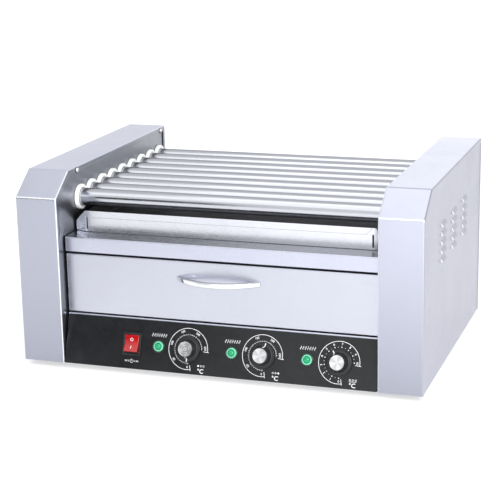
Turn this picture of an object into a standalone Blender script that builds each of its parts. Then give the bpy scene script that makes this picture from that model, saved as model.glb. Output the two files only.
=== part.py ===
"""Hot dog roller grill: nine turning rollers over a drip tray and a bun-warming drawer.

Frame: metres, +Z up, front towards -Y. The origin is on the floor, under the
middle of the cabinet.
"""
import math

import bmesh
import bpy
from mathutils import Matrix, Vector

mm = 0.001

# Cabinet
WIDTH = 580 * mm                # over both side casings
CASE_HEIGHT = 270 * mm          # of the casings, without the feet
SIDE_WIDTH = 62 * mm            # one side casing
CHAMFER_HEIGHT = 32 * mm        # sloped corner at the casing's upper front
CHAMFER_DEPTH = 44.5 * mm
SHEET = 1.2 * mm                # stainless sheet
BEND_RADIUS = 2.0 * mm
LIP_WIDTH = 8 * mm              # casing's return onto the inner panel
GAP = 0.4 * mm                  # between pieces that touch
FLANGE = 12 * mm                # folded fixing flanges
FOOT_HEIGHT = 8 * mm
FOOT_RADIUS = 12 * mm
FOOT_INSET = 48 * mm            # foot centre from the casing's sides

# Roller deck
ROLLER_COUNT = 9
ROLLER_RADIUS = 12.5 * mm
ROLLER_WALL = 1.5 * mm
BUSH_RIM = 5.5 * mm             # white rim seen round each roller
BUSH_SPACE = 1.6 * mm           # between neighbouring bushes
BUSH_LENGTH = 5 * mm            # of the rim, inwards from the panel
BUSH_HUB_WALL = 2.6 * mm
BUSH_TAIL = 4 * mm              # hub behind the panel
BUSH_CLEARANCE = 0.6 * mm
ROLLER_BELOW_TOP = 45.25 * mm   # roller axes under the casings' top
FIRST_ROLLER = 80.5 * mm        # first axis behind the casings' front
LAST_ROLLER = 30.7 * mm         # last axis ahead of the casings' rear
ROLLER_TAIL = 9 * mm            # plain tube end behind the left panel

# Chain drive in the right casing
TEETH = 11
MOTOR_TEETH = 13
TOOTH_DEPTH = 4.7 * mm
TOOTH_TIP = 1.5 * mm            # tip circle outside the pitch circle
TIP_SPACE = 0.8 * mm            # between neighbouring sprockets
SPROCKET_THICKNESS = 5 * mm
SPROCKET_OFFSET = 13 * mm       # sprocket plane from the panel's back
CHAIN_CLEARANCE = 0.5 * mm
CHAIN_PLATE = 1.2 * mm
CHAIN_BACK = 1.5 * mm
CHAIN_SIDE_DEPTH = 4 * mm       # side plates below the tooth tips
MOTOR_DROP = 105 * mm           # motor shaft under the roller axes
GEARBOX_SIZE = 54 * mm
GEARBOX_LENGTH = 18 * mm
MOTOR_RADIUS = 21 * mm
MOTOR_CLEARANCE = 6 * mm
MOTOR_SHAFT_RADIUS = 4 * mm
SHAFT_CLEARANCE = 0.6 * mm
STAND_THICKNESS = 3 * mm
STAND_WIDTH = 50 * mm

# Heating rods
ROD_RADIUS = 4 * mm
ROD_REACH = 9 * mm              # rod ends past their plate and sprocket
FRONT_ZONE_COUNT = 5            # rollers on the front heat zone
ROD_PLATE = 1.5 * mm
ROD_PLATE_SPACE = 6 * mm        # from the roller ends
ROD_PLATE_RISE = 10 * mm
ROD_PLATE_DROP = 24 * mm
DRAWER_ROD_HEIGHT = 36 * mm     # above the base
DRAWER_ROD_FRONT = 95 * mm      # first leg behind the casings' front
DRAWER_ROD_REAR = 110 * mm      # last leg ahead of the casings' rear
DRAWER_ROD_SIDE = 40 * mm       # bend inside the left panel
ROD_HOLE_CLEARANCE = 0.8 * mm

# Centre bay: control panel, drawer, rail and drip tray, from the bottom up
SIDE_CLEARANCE = 1 * mm         # from a casing lip to each front
FRONT_SETBACK = 22 * mm         # drawer and rail behind the casings
PANEL_HEIGHT = 69 * mm          # control panel, leaning back to the setback
DRAWER_SEAM = 2 * mm            # under the drawer front
RAIL_SEAM = 2.5 * mm            # over the drawer front
RAIL_HEIGHT = 21.5 * mm
TRAY_HEIGHT = 30 * mm
TRAY_SETBACK = 56 * mm
TRAY_CORNER = 15.5 * mm         # 45 degree corners of the tray's front
TRAY_WALL_HEIGHT = 22 * mm
TRAY_WALL_INSET = 3.5 * mm
TRAY_REAR_SPACE = 24 * mm
TRAY_HEM = 9 * mm
TRAY_CLEARANCE = 2.35 * mm      # under the rollers
HOUSING_REAR_SPACE = 20 * mm
DRAWER_FRONT_DEPTH = 12 * mm
DRAWER_SIDE_CLEARANCE = 2 * mm
DRAWER_RUNNER_CLEARANCE = 0.5 * mm
DRAWER_EDGE = 6 * mm            # box inside the drawer front's top and bottom
DRAWER_REAR_SPACE = 6 * mm
HANDLE_SPAN = 122 * mm
HANDLE_BOW = 26 * mm
HANDLE_GRIP_BOW = 19 * mm       # inner side of the bow
HANDLE_PAD = 11 * mm            # end pads on the drawer
HANDLE_HEIGHT = 7 * mm
HANDLE_BELOW_EDGE = 24.8 * mm
REAR_PANEL_CLEARANCE = 6 * mm   # under the last roller
REAR_VENT = (5 * mm, 36 * mm)
REAR_VENT_COUNT = 9
REAR_VENT_PITCH = 26 * mm
REAR_VENT_ABOVE_BASE = 40 * mm

# Louvres on the casings' outer sides
LOUVRE_COLUMNS = (123 * mm, 199.5 * mm, 276 * mm)  # behind the casings' front
LOUVRE_ROWS = 5
LOUVRE_PITCH = 12.4 * mm
LOUVRE_BELOW_TOP = 63 * mm
LOUVRE_LENGTH = 32 * mm
LOUVRE_HEIGHT = 6.4 * mm
LOUVRE_PROUD = 3 * mm
LOUVRE_WALL = 1.0 * mm

# Controls, by their place along the panel as a share of its length
CONTROL_LINE = 35 * mm          # up the slope from the panel's lower edge
SWITCH_PLACE = 0.2215
LAMP_PLACES = (0.3097, 0.5466, 0.7835)
KNOB_PLACES = (0.4058, 0.6437, 0.8816)
ZONES = ("front", "back", "drawer")
KNOB_SETTINGS = (0.0, 195.0, 150.0)     # degrees clockwise from the off mark
KNOB_SKIRT_RADIUS = 18 * mm
KNOB_SKIRT = 2.5 * mm
KNOB_GRIP_RADIUS = 13.4 * mm
KNOB_TOP_RADIUS = 11.4 * mm
KNOB_HEIGHT = 12 * mm
KNOB_STANDOFF = 1.0 * mm
KNOB_SHAFT_RADIUS = 3 * mm
KNOB_SHAFT = 16 * mm
KNOB_POCKET_RADIUS = 7 * mm
KNOB_POCKET = 5 * mm
POINTER = (2.2 * mm, 1.0 * mm)          # width, height over the skirt
THERMOSTAT_SIZE = 34 * mm
THERMOSTAT_DEPTH = 22 * mm
THERMOSTAT_BUSH_RADIUS = 4.6 * mm
THERMOSTAT_BUSH = 4 * mm
LAMP_RIM_RADIUS = 9.2 * mm
LAMP_LENS_RADIUS = 7.9 * mm
LAMP_BARREL_RADIUS = 6 * mm
LAMP_BARREL = 20 * mm
BEZEL = (27 * mm, 32 * mm, 2 * mm)
SWITCH_BODY = (24.4 * mm, 29.2 * mm, 22 * mm)
SWITCH_POCKET = (21.2 * mm, 26.8 * mm, 14 * mm)
ROCKER_WIDTH = 20.4 * mm
ROCKER_HALF = 12 * mm
ROCKER_RISE = 4 * mm            # crease over the pivot
ROCKER_TILT = math.radians(11)
HOLE_CLEARANCE = 0.5 * mm

# Cord gland in the right casing's rear; the casing is prepared for a mains lead
GLAND_RADIUS = 7 * mm
GLAND_FLANGE_RADIUS = 11 * mm
GLAND_BORE_RADIUS = 4 * mm
GLAND_PROUD = 9 * mm
GLAND_INSIDE = 12 * mm
GLAND_HEIGHT = 37 * mm          # above the casing's lower edge

ROUND = 16                      # sides of round pieces

# Worked out from the values above
ROLLER_PITCH = 2 * (ROLLER_RADIUS + BUSH_RIM) + BUSH_SPACE
DEPTH = FIRST_ROLLER + (ROLLER_COUNT - 1) * ROLLER_PITCH + LAST_ROLLER
FRONT = -DEPTH / 2
REAR = DEPTH / 2
BOTTOM = FOOT_HEIGHT
TOP = BOTTOM + CASE_HEIGHT
X_OUT = WIDTH / 2
X_LIP = X_OUT - SIDE_WIDTH
X_PANEL = X_LIP + SHEET + GAP           # bay face of the inner panels
X_BACK = X_PANEL + SHEET                # casing face of the inner panels
X_CASING = X_OUT - SHEET                # inside of the outer sheet
X_BAY = X_LIP - SIDE_CLEARANCE          # half length of rail, drawer and controls
BASE_TOP = BOTTOM + GAP + SHEET
STAND_Z = BASE_TOP + GAP                # whatever stands on the base
ROLLER_Z = TOP - ROLLER_BELOW_TOP
ROLLER_Y = [FRONT + FIRST_ROLLER + i * ROLLER_PITCH for i in range(ROLLER_COUNT)]
LEDGE_Z = ROLLER_Z - ROLLER_RADIUS - TRAY_CLEARANCE - TRAY_HEIGHT - GAP
RAIL_Z = LEDGE_Z - RAIL_HEIGHT
BAY_Y = FRONT + FRONT_SETBACK
DRAWER_TOP = RAIL_Z - RAIL_SEAM
PANEL_TOP = BOTTOM + PANEL_HEIGHT
DRAWER_BOTTOM = PANEL_TOP + DRAWER_SEAM
HOUSING_Y = (BAY_Y + DRAWER_FRONT_DEPTH + 2 * GAP, REAR - HOUSING_REAR_SPACE)
RUNNER_Z = DRAWER_BOTTOM + DRAWER_EDGE - DRAWER_RUNNER_CLEARANCE
X_SPROCKET = X_BACK + SPROCKET_OFFSET
TIP_RADIUS = (ROLLER_PITCH - TIP_SPACE) / 2
CHAIN_PITCH = 2 * (TIP_RADIUS - TOOTH_TIP) * math.sin(math.pi / TEETH)
MOTOR_TIP_RADIUS = CHAIN_PITCH / (2 * math.sin(math.pi / MOTOR_TEETH)) + TOOTH_TIP
MOTOR_Y = (ROLLER_Y[0] + ROLLER_Y[-1]) / 2
MOTOR_Z = ROLLER_Z - MOTOR_DROP
X_CHAIN = SPROCKET_THICKNESS / 2 + CHAIN_CLEARANCE      # inside of the side plates
X_ROLLER_END = X_SPROCKET + X_CHAIN + CHAIN_PLATE + 2 * mm
X_GEARBOX = X_ROLLER_END
PANEL_LEAN = math.atan2(FRONT_SETBACK, PANEL_HEIGHT)
PANEL_FRAME = Matrix.Translation((0, FRONT, BOTTOM)) @ Matrix.Rotation(
    math.pi / 2 - PANEL_LEAN, 4, "X")
DRAWER_ROD_Y = (FRONT + DRAWER_ROD_FRONT, REAR - DRAWER_ROD_REAR)
DRAWER_ROD_Z = BASE_TOP + DRAWER_ROD_HEIGHT
GLAND_X = (X_BACK + X_CASING) / 2
GLAND_Z = BOTTOM + GLAND_HEIGHT

for old in list(bpy.data.objects):
    bpy.data.objects.remove(old)

grill = bpy.data.collections.new("hot_dog_roller_grill")
tools = bpy.data.collections.new("cutters")
bpy.context.scene.collection.children.link(grill)
bpy.context.scene.collection.children.link(tools)

FINISHES = {                    # colour, roughness, metallic
    "stainless": ((0.70, 0.71, 0.76), 0.32, 1.0),
    "mirror_stainless": ((0.50, 0.51, 0.55), 0.16, 1.0),
    "galvanised": ((0.52, 0.53, 0.54), 0.45, 1.0),
    "chrome": ((0.83, 0.84, 0.86), 0.08, 1.0),
    "white_ptfe": ((0.90, 0.90, 0.88), 0.45, 0.0),
    "black_film": ((0.035, 0.036, 0.040), 0.38, 0.0),
    "black_plastic": ((0.02, 0.02, 0.022), 0.35, 0.0),
    "red_plastic": ((0.75, 0.04, 0.05), 0.22, 0.0),
    "green_lens": ((0.10, 0.72, 0.42), 0.15, 0.0),
    "rubber": ((0.03, 0.03, 0.03), 0.75, 0.0),
    "dark_steel": ((0.22, 0.22, 0.23), 0.40, 1.0),
    "motor_grey": ((0.30, 0.31, 0.33), 0.50, 0.0),
}


def material(node, finish):
    """One Principled material for one node."""
    colour, roughness, metallic = FINISHES[finish]
    mat = bpy.data.materials.new(node + "_" + finish)
    mat.use_nodes = True
    shader = mat.node_tree.nodes["Principled BSDF"]
    shader.inputs["Base Color"].default_value = (*colour, 1)
    shader.inputs["Roughness"].default_value = roughness
    shader.inputs["Metallic"].default_value = metallic
    mat.diffuse_color = (*colour, 1)
    return mat


def add_object(name, mesh, finish):
    obj = bpy.data.objects.new(name, mesh)
    grill.objects.link(obj)
    obj.data.materials.append(material(name, finish))
    return obj


def as_tool(obj):
    """Keep a cutter or a piece to be joined out of the model."""
    for collection in list(obj.users_collection):
        collection.objects.unlink(obj)
    tools.objects.link(obj)
    obj.hide_render = True
    obj.display_type = "WIRE"
    return obj


def tool_object(name, bm):
    return as_tool(add_object(name, to_mesh(name, bm), "dark_steel"))


def to_mesh(name, bm, smooth=False):
    mesh = bpy.data.meshes.new(name)
    bm.to_mesh(mesh)
    bm.free()
    if smooth:
        mesh.shade_smooth()
        mesh.set_sharp_from_angle(angle=math.radians(35))
    return mesh


def add_box(bm, low, high):
    """A box between two corners, added to a bmesh."""
    low, high = Vector(low), Vector(high)
    size = high - low
    place = Matrix.Translation((low + high) / 2) @ Matrix.Diagonal((*size, 1))
    bmesh.ops.create_cube(bm, size=1, matrix=place)
    return bm


def box(low, high):
    return add_box(bmesh.new(), low, high)


def add_rod(bm, start, end, radius, sides=ROUND):
    """A cylinder from one point to another, added to a bmesh."""
    start, end = Vector(start), Vector(end)
    along = end - start
    turn = along.to_track_quat("Z", "Y").to_matrix().to_4x4()
    place = Matrix.Translation((start + end) / 2) @ turn
    bmesh.ops.create_cone(bm, cap_ends=True, segments=sides, radius1=radius,
                          radius2=radius, depth=along.length, matrix=place)
    return bm


def prism(outline, low, high, axis="X"):
    """An outline swept from low to high along X (points y, z) or Y (points x, z)."""
    bm = bmesh.new()
    if axis == "X":
        verts = [bm.verts.new((low, a, b)) for a, b in outline]
        sweep = Vector((high - low, 0, 0))
    else:
        verts = [bm.verts.new((a, low, b)) for a, b in outline]
        sweep = Vector((0, high - low, 0))
    face = bm.faces.new(verts)
    grown = bmesh.ops.extrude_face_region(bm, geom=[face], use_keep_orig=True)
    moved = [v for v in grown["geom"] if isinstance(v, bmesh.types.BMVert)]
    bmesh.ops.translate(bm, verts=moved, vec=sweep)
    bmesh.ops.recalc_face_normals(bm, faces=bm.faces)
    return bm


def sheet_strip(points, half_length):
    """A folded sheet: a section in Y and Z swept along X, facing left of its run."""
    bm = bmesh.new()
    verts = [bm.verts.new((-half_length, y, z)) for y, z in points]
    edges = [bm.edges.new(pair) for pair in zip(verts, verts[1:])]
    grown = bmesh.ops.extrude_edge_only(bm, edges=edges)
    moved = [v for v in grown["geom"] if isinstance(v, bmesh.types.BMVert)]
    bmesh.ops.translate(bm, verts=moved, vec=(2 * half_length, 0, 0))
    return bm


def open_box(low, high, missing):
    """A box surface without the faces that look along the missing directions."""
    bm = box(low, high)
    gone = [f for f in bm.faces
            if any(f.normal.dot(Vector(way)) > 0.9 for way in missing)]
    bmesh.ops.delete(bm, geom=gone, context="FACES")
    return bm


def thicken(obj, thickness=SHEET, bend=0.0):
    """Bend radii, then the sheet's thickness inwards from its outer face."""
    if bend:
        bevel = obj.modifiers.new("bends", "BEVEL")
        bevel.width = bend
        bevel.segments = 2
        bevel.limit_method = "ANGLE"
        bevel.angle_limit = math.radians(30)
    solid = obj.modifiers.new("sheet", "SOLIDIFY")
    solid.thickness = thickness
    solid.offset = -1
    solid.use_even_offset = True
    return obj


def combine(obj, operation, tool):
    boolean = obj.modifiers.new(operation.lower() + "_" + tool.name, "BOOLEAN")
    boolean.operation = operation
    boolean.solver = "EXACT"
    boolean.object = tool


def cut(obj, *cutters):
    for cutter in cutters:
        combine(obj, "DIFFERENCE", cutter)


def join(obj, *pieces):
    for piece in pieces:
        combine(obj, "UNION", piece)


def turned(name, profile, finish, sides=ROUND, closed=False):
    """A profile of (radius, height) turned round Z; it runs down its outer side."""
    bm = bmesh.new()
    verts = [bm.verts.new((r, 0, z)) for r, z in profile]
    pairs = list(zip(verts, verts[1:]))
    if closed:
        pairs.append((verts[-1], verts[0]))
    for pair in pairs:
        bm.edges.new(pair)
    obj = add_object(name, to_mesh(name, bm), finish)
    screw = obj.modifiers.new("turn", "SCREW")
    screw.steps = sides
    screw.render_steps = sides
    screw.use_merge_vertices = True
    screw.merge_threshold = 0.00001
    return obj


def baked(obj):
    """The object's finished mesh, for copies that share it."""
    bpy.context.view_layer.update()
    graph = bpy.context.evaluated_depsgraph_get()
    mesh = bpy.data.meshes.new_from_object(obj.evaluated_get(graph))
    mesh.materials.clear()
    mesh.shade_smooth()
    mesh.set_sharp_from_angle(angle=math.radians(35))
    return mesh


def mirrored(mesh, name):
    """A copy of a mesh on the other side of the middle plane."""
    copy = mesh.copy()
    copy.name = name
    copy.transform(Matrix.Scale(-1, 4, (1, 0, 0)))
    copy.flip_normals()
    return copy


def casing_outline(inset, foot):
    """Side view of a casing, moved in by inset, down to the height foot."""
    lean = math.atan2(CHAMFER_HEIGHT, CHAMFER_DEPTH)
    slope_shift = inset / math.cos(lean)
    rise = math.tan(lean)
    y_front = FRONT + inset
    z_front = TOP - CHAMFER_HEIGHT + inset * rise - slope_shift
    z_top = TOP - inset
    y_top = FRONT + CHAMFER_DEPTH + (slope_shift - inset) / rise
    return [(y_front, foot), (y_front, z_front), (y_top, z_top),
            (REAR - inset, z_top), (REAR - inset, foot)]


def casing_cover(name):
    """Outer side, front, slope, top and rear in one sheet, with a lip on the bay side."""
    below = BOTTOM - 3 * LIP_WIDTH
    bm = prism(casing_outline(0, below), X_LIP, X_OUT)
    bay_side = [f for f in bm.faces if f.normal.x < -0.9]
    bmesh.ops.inset_region(bm, faces=bay_side, thickness=LIP_WIDTH,
                           use_even_offset=True)
    underside = [f for f in bm.faces if f.normal.z < -0.9]
    bmesh.ops.delete(bm, geom=bay_side + underside, context="FACES")
    bmesh.ops.bisect_plane(bm, geom=bm.verts[:] + bm.edges[:] + bm.faces[:],
                           plane_co=(0, 0, BOTTOM), plane_no=(0, 0, -1),
                           clear_outer=True)
    cover = add_object(name, to_mesh(name, bm), "stainless")
    return thicken(cover, bend=BEND_RADIUS)


def louvre_places():
    for column in LOUVRE_COLUMNS:
        for row in range(LOUVRE_ROWS):
            yield FRONT + column, TOP - LOUVRE_BELOW_TOP - row * LOUVRE_PITCH


def louvre_tool(name, inset, drop, depth):
    """Wedges on the casing's outer side, one for each louvre."""
    whole = bmesh.new()
    for y, z in louvre_places():
        high = z + LOUVRE_HEIGHT / 2 - inset
        low = z - LOUVRE_HEIGHT / 2 - drop
        reach = X_OUT + LOUVRE_PROUD - inset
        half = LOUVRE_LENGTH / 2 - inset
        wedge = [(X_OUT - depth, low), (reach, low), (reach - 0.6 * mm, z),
                 (X_OUT - depth, high)]
        bm = prism(wedge, y - half, y + half, axis="Y")
        part = bpy.data.meshes.new(name)
        bm.to_mesh(part)
        bm.free()
        whole.from_mesh(part)
        bpy.data.meshes.remove(part)
    return tool_object(name, whole)


def build_covers():
    """Both casings' outer covers, louvred; the right one takes the cord gland."""
    hoods = louvre_tool("louvre_hoods", 0.0, 0.0, SHEET / 2)
    throats = louvre_tool("louvre_throats", LOUVRE_WALL, 0.5 * mm, 2 * SHEET)
    hole = tool_object("gland_hole", add_rod(
        bmesh.new(), (GLAND_X, REAR - 4 * SHEET, GLAND_Z),
        (GLAND_X, REAR + 4 * SHEET, GLAND_Z), GLAND_RADIUS + HOLE_CLEARANCE))
    plain = casing_cover("casing_pattern")
    join(plain, hoods)
    cut(plain, throats)
    left = mirrored(baked(plain), "left_cover")
    bpy.data.objects.remove(plain)
    add_object("left_cover", left, "stainless")
    right = casing_cover("right_cover")
    join(right, hoods)
    cut(right, throats, hole)


def panel_holes():
    """Bush holes in an inner panel."""
    bm = bmesh.new()
    radius = ROLLER_RADIUS + BUSH_CLEARANCE + BUSH_HUB_WALL + HOLE_CLEARANCE
    for y in ROLLER_Y:
        add_rod(bm, (X_PANEL - 4 * SHEET, y, ROLLER_Z),
                (X_PANEL + 4 * SHEET, y, ROLLER_Z), radius)
    return tool_object("bush_holes", bm)


def drawer_rod_holes():
    """Holes for the drawer rod's two legs, right through the bay's right side."""
    bm = bmesh.new()
    for y in DRAWER_ROD_Y:
        add_rod(bm, (X_BAY - 8 * SHEET, y, DRAWER_ROD_Z),
                (X_BACK + 4 * SHEET, y, DRAWER_ROD_Z),
                ROD_RADIUS + ROD_HOLE_CLEARANCE, 12)
    return tool_object("drawer_rod_holes", bm)


def inner_panel(name):
    """Upright plate that carries the bushes, with a flange on the base."""
    outline = casing_outline(SHEET + GAP + BEND_RADIUS, STAND_Z)
    panel = add_object(name, to_mesh(name, prism(outline, X_PANEL, X_BACK)),
                       "mirror_stainless")
    flange = tool_object(name + "_flange", box(
        (X_BACK - SHEET / 2, FRONT + 2 * FLANGE, STAND_Z),
        (X_BACK + FLANGE, REAR - FLANGE, STAND_Z + SHEET)))
    join(panel, flange)
    return panel


def build_inner_panels(rod_holes):
    holes = panel_holes()
    plain = inner_panel("panel_pattern")
    cut(plain, holes)
    left = mirrored(baked(plain), "left_inner_panel")
    bpy.data.objects.remove(plain)
    add_object("left_inner_panel", left, "mirror_stainless")
    right = inner_panel("right_inner_panel")
    cut(right, holes, rod_holes)


def build_base():
    """Base pan under the whole machine, folded up inside both casings."""
    edge = X_CASING - GAP
    front = FRONT + FLANGE + 2 * SHEET
    rear = REAR - LIP_WIDTH - GAP
    bm = open_box((-edge, front, BOTTOM + GAP), (edge, rear, BOTTOM + GAP + FLANGE),
                  [(0, 0, 1), (0, 1, 0), (0, -1, 0)])
    thicken(add_object("base_pan", to_mesh("base_pan", bm), "galvanised"))


def build_feet():
    profile = [(0, FOOT_HEIGHT), (FOOT_RADIUS, FOOT_HEIGHT), (FOOT_RADIUS - 2 * mm, 0),
               (4 * mm, 0), (4 * mm, 3 * mm), (0, 3 * mm)]
    pattern = turned("foot_pattern", profile, "rubber")
    mesh = baked(pattern)
    bpy.data.objects.remove(pattern)
    x = X_OUT - FOOT_INSET
    places = {"front_left": (-x, FRONT + FOOT_INSET), "front_right": (x, FRONT + FOOT_INSET),
              "rear_left": (-x, REAR - FOOT_INSET), "rear_right": (x, REAR - FOOT_INSET)}
    for name, (px, py) in places.items():
        foot = add_object("foot_" + name, mesh.copy(), "rubber")
        foot.location = (px, py, 0)


def build_rear_panel():
    """Folded rear panel between the casings, with a row of vents."""
    half = X_LIP - GAP
    top = ROLLER_Z - ROLLER_RADIUS - REAR_PANEL_CLEARANCE
    bm = open_box((-half, REAR - FLANGE, STAND_Z), (half, REAR, top), [(0, -1, 0)])
    panel = add_object("rear_panel", to_mesh("rear_panel", bm), "stainless")
    thicken(panel)
    width, height = REAR_VENT
    low = STAND_Z + REAR_VENT_ABOVE_BASE
    vents = bmesh.new()
    for i in range(REAR_VENT_COUNT):
        x = (i - (REAR_VENT_COUNT - 1) / 2) * REAR_VENT_PITCH
        add_box(vents, (x - width / 2, REAR - 3 * SHEET, low),
                (x + width / 2, REAR + 2 * SHEET, low + height))
    cut(panel, tool_object("rear_vents", vents))


def sprocket_outline(teeth, tip, y, z):
    """Teeth with sloped flanks and flat tips, round (y, z)."""
    root = tip - TOOTH_DEPTH
    pitch = 2 * math.pi / teeth
    points = []
    for k in range(teeth):
        for radius, share in ((root, -0.31), (tip, -0.13), (tip, 0.13), (root, 0.31)):
            angle = (k + share) * pitch
            points.append((y + radius * math.sin(angle), z + radius * math.cos(angle)))
    return points


def build_rollers():
    """Tubes with a sprocket welded to the right end, each on its own axis."""
    left = -(X_BACK + ROLLER_TAIL)
    pattern = add_object("roller_pattern", to_mesh("roller", add_rod(
        bmesh.new(), (left, 0, 0), (X_ROLLER_END, 0, 0), ROLLER_RADIUS)), "stainless")
    half = SPROCKET_THICKNESS / 2
    sprocket = tool_object("sprocket", prism(
        sprocket_outline(TEETH, TIP_RADIUS, 0, 0), X_SPROCKET - half, X_SPROCKET + half))
    bore = tool_object("roller_bore", add_rod(
        bmesh.new(), (left - 2 * mm, 0, 0), (X_ROLLER_END + 2 * mm, 0, 0),
        ROLLER_RADIUS - ROLLER_WALL))
    join(pattern, sprocket)
    cut(pattern, bore)
    mesh = baked(pattern)
    bpy.data.objects.remove(pattern)
    for i, y in enumerate(ROLLER_Y, 1):
        roller = add_object(f"roller_{i}", mesh.copy(), "stainless")
        roller.location = (0, y, ROLLER_Z)


def build_bushes():
    """White flanged bushes in both inner panels."""
    bore = ROLLER_RADIUS + BUSH_CLEARANCE
    hub = bore + BUSH_HUB_WALL
    rim = ROLLER_RADIUS + BUSH_RIM
    seat = SHEET + 2 * GAP
    easing = 0.8 * mm
    profile = [(bore, BUSH_LENGTH), (rim - easing, BUSH_LENGTH), (rim, BUSH_LENGTH - easing),
               (rim, 0), (hub, 0), (hub, -seat - BUSH_TAIL), (bore, -seat - BUSH_TAIL)]
    pattern = turned("bush_pattern", profile, "white_ptfe", closed=True)
    mesh = baked(pattern)
    bpy.data.objects.remove(pattern)
    for side, sign in (("left", -1), ("right", 1)):
        for i, y in enumerate(ROLLER_Y, 1):
            bush = add_object(f"{side}_bush_{i}", mesh.copy(), "white_ptfe")
            bush.rotation_euler = (0, -sign * math.pi / 2, 0)
            bush.location = (sign * (X_PANEL - GAP), y, ROLLER_Z)


def belt_outline(grow):
    """Line stretched round the end sprockets and the motor sprocket."""
    circles = ((ROLLER_Y[0], ROLLER_Z, TIP_RADIUS), (ROLLER_Y[-1], ROLLER_Z, TIP_RADIUS),
               (MOTOR_Y, MOTOR_Z, MOTOR_TIP_RADIUS))
    steps = 28
    points = sorted((y + (r + grow) * math.cos(2 * math.pi * k / steps),
                     z + (r + grow) * math.sin(2 * math.pi * k / steps))
                    for y, z, r in circles for k in range(steps))

    def half_hull(row):
        kept = []
        for p in row:
            while len(kept) > 1:
                (ay, az), (by, bz) = kept[-2:]
                if (by - ay) * (p[1] - az) - (bz - az) * (p[0] - ay) > 1e-9:
                    break
                kept.pop()
            kept.append(p)
        return kept[:-1]

    return half_hull(points) + half_hull(points[::-1])


def build_chain():
    """Drive chain as a bridged loop: two side plates beside the teeth and a back."""
    outside = X_CHAIN + CHAIN_PLATE
    back = CHAIN_CLEARANCE + CHAIN_BACK
    chain = add_object("drive_chain", to_mesh("drive_chain", prism(
        belt_outline(back), X_SPROCKET - outside, X_SPROCKET + outside)), "dark_steel")
    hollow = tool_object("chain_hollow", prism(
        belt_outline(-CHAIN_SIDE_DEPTH), X_SPROCKET - 2 * outside, X_SPROCKET + 2 * outside))
    channel = tool_object("chain_channel", prism(
        belt_outline(CHAIN_CLEARANCE), X_SPROCKET - X_CHAIN, X_SPROCKET + X_CHAIN))
    cut(chain, hollow, channel)


def build_motor():
    """Gear motor on its stand, and the sprocket on its output shaft."""
    half = GEARBOX_SIZE / 2
    end = X_GEARBOX + GEARBOX_LENGTH
    motor = add_object("drive_motor", to_mesh("drive_motor", box(
        (X_GEARBOX, MOTOR_Y - half, MOTOR_Z - half),
        (end, MOTOR_Y + half, MOTOR_Z + half))), "motor_grey")
    can = tool_object("motor_can", add_rod(
        bmesh.new(), (end - SHEET, MOTOR_Y, MOTOR_Z),
        (X_CASING - MOTOR_CLEARANCE, MOTOR_Y, MOTOR_Z), MOTOR_RADIUS))
    middle = (X_GEARBOX + end) / 2
    wide = STAND_WIDTH / 2
    upright = tool_object("motor_upright", box(
        (middle - STAND_THICKNESS / 2, MOTOR_Y - wide, STAND_Z + STAND_THICKNESS / 2),
        (middle + STAND_THICKNESS / 2, MOTOR_Y + wide, MOTOR_Z - half + SHEET)))
    foot = tool_object("motor_foot", box(
        (X_GEARBOX, MOTOR_Y - wide - SHEET, STAND_Z),
        (end, MOTOR_Y + wide + SHEET, STAND_Z + STAND_THICKNESS)))
    depth = GEARBOX_LENGTH - STAND_THICKNESS
    bore = tool_object("motor_bore", add_rod(
        bmesh.new(), (X_GEARBOX - SHEET, MOTOR_Y, MOTOR_Z),
        (X_GEARBOX + depth, MOTOR_Y, MOTOR_Z), MOTOR_SHAFT_RADIUS + SHAFT_CLEARANCE, 16))
    join(motor, can, upright, foot)
    cut(motor, bore)

    thick = SPROCKET_THICKNESS / 2
    sprocket = add_object("motor_sprocket", to_mesh("motor_sprocket", prism(
        sprocket_outline(MOTOR_TEETH, MOTOR_TIP_RADIUS, 0, 0), -thick, thick)), "dark_steel")
    hub = tool_object("sprocket_hub", add_rod(
        bmesh.new(), (-thick - 3 * mm, 0, 0), (thick + SHEET, 0, 0), 2.4 * MOTOR_SHAFT_RADIUS))
    shaft = tool_object("sprocket_shaft", add_rod(
        bmesh.new(), (-thick - 5 * mm, 0, 0),
        (X_GEARBOX - X_SPROCKET + depth - 2 * SHEET, 0, 0), MOTOR_SHAFT_RADIUS, 16))
    for tool in (hub, shaft):
        tool.location = (X_SPROCKET, MOTOR_Y, MOTOR_Z)
    sprocket.location = (X_SPROCKET, MOTOR_Y, MOTOR_Z)
    join(sprocket, hub, shaft)


def heater_bank(name, rows):
    """Rods standing inside the rollers, held by one plate in the left casing."""
    plate_x = -(X_BACK + ROLLER_TAIL + ROD_PLATE_SPACE)
    side = ROD_PLATE_RISE
    low = ROLLER_Z - ROD_PLATE_DROP
    plate = add_object(name, to_mesh(name, box(
        (plate_x - ROD_PLATE, rows[0] - side, low),
        (plate_x, rows[-1] + side, ROLLER_Z + ROD_PLATE_RISE))), "dark_steel")
    foot = tool_object(name + "_foot", box(
        (plate_x - ROD_PLATE / 2, rows[0] - side / 2, low + GAP),
        (-X_BACK - GAP, rows[-1] + side / 2, low + GAP + ROD_PLATE)))
    rods = bmesh.new()
    for y in rows:
        add_rod(rods, (plate_x - ROD_REACH, y, ROLLER_Z),
                (X_ROLLER_END + ROD_REACH, y, ROLLER_Z), ROD_RADIUS, 12)
    join(plate, foot, tool_object(name + "_rods", rods))


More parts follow.
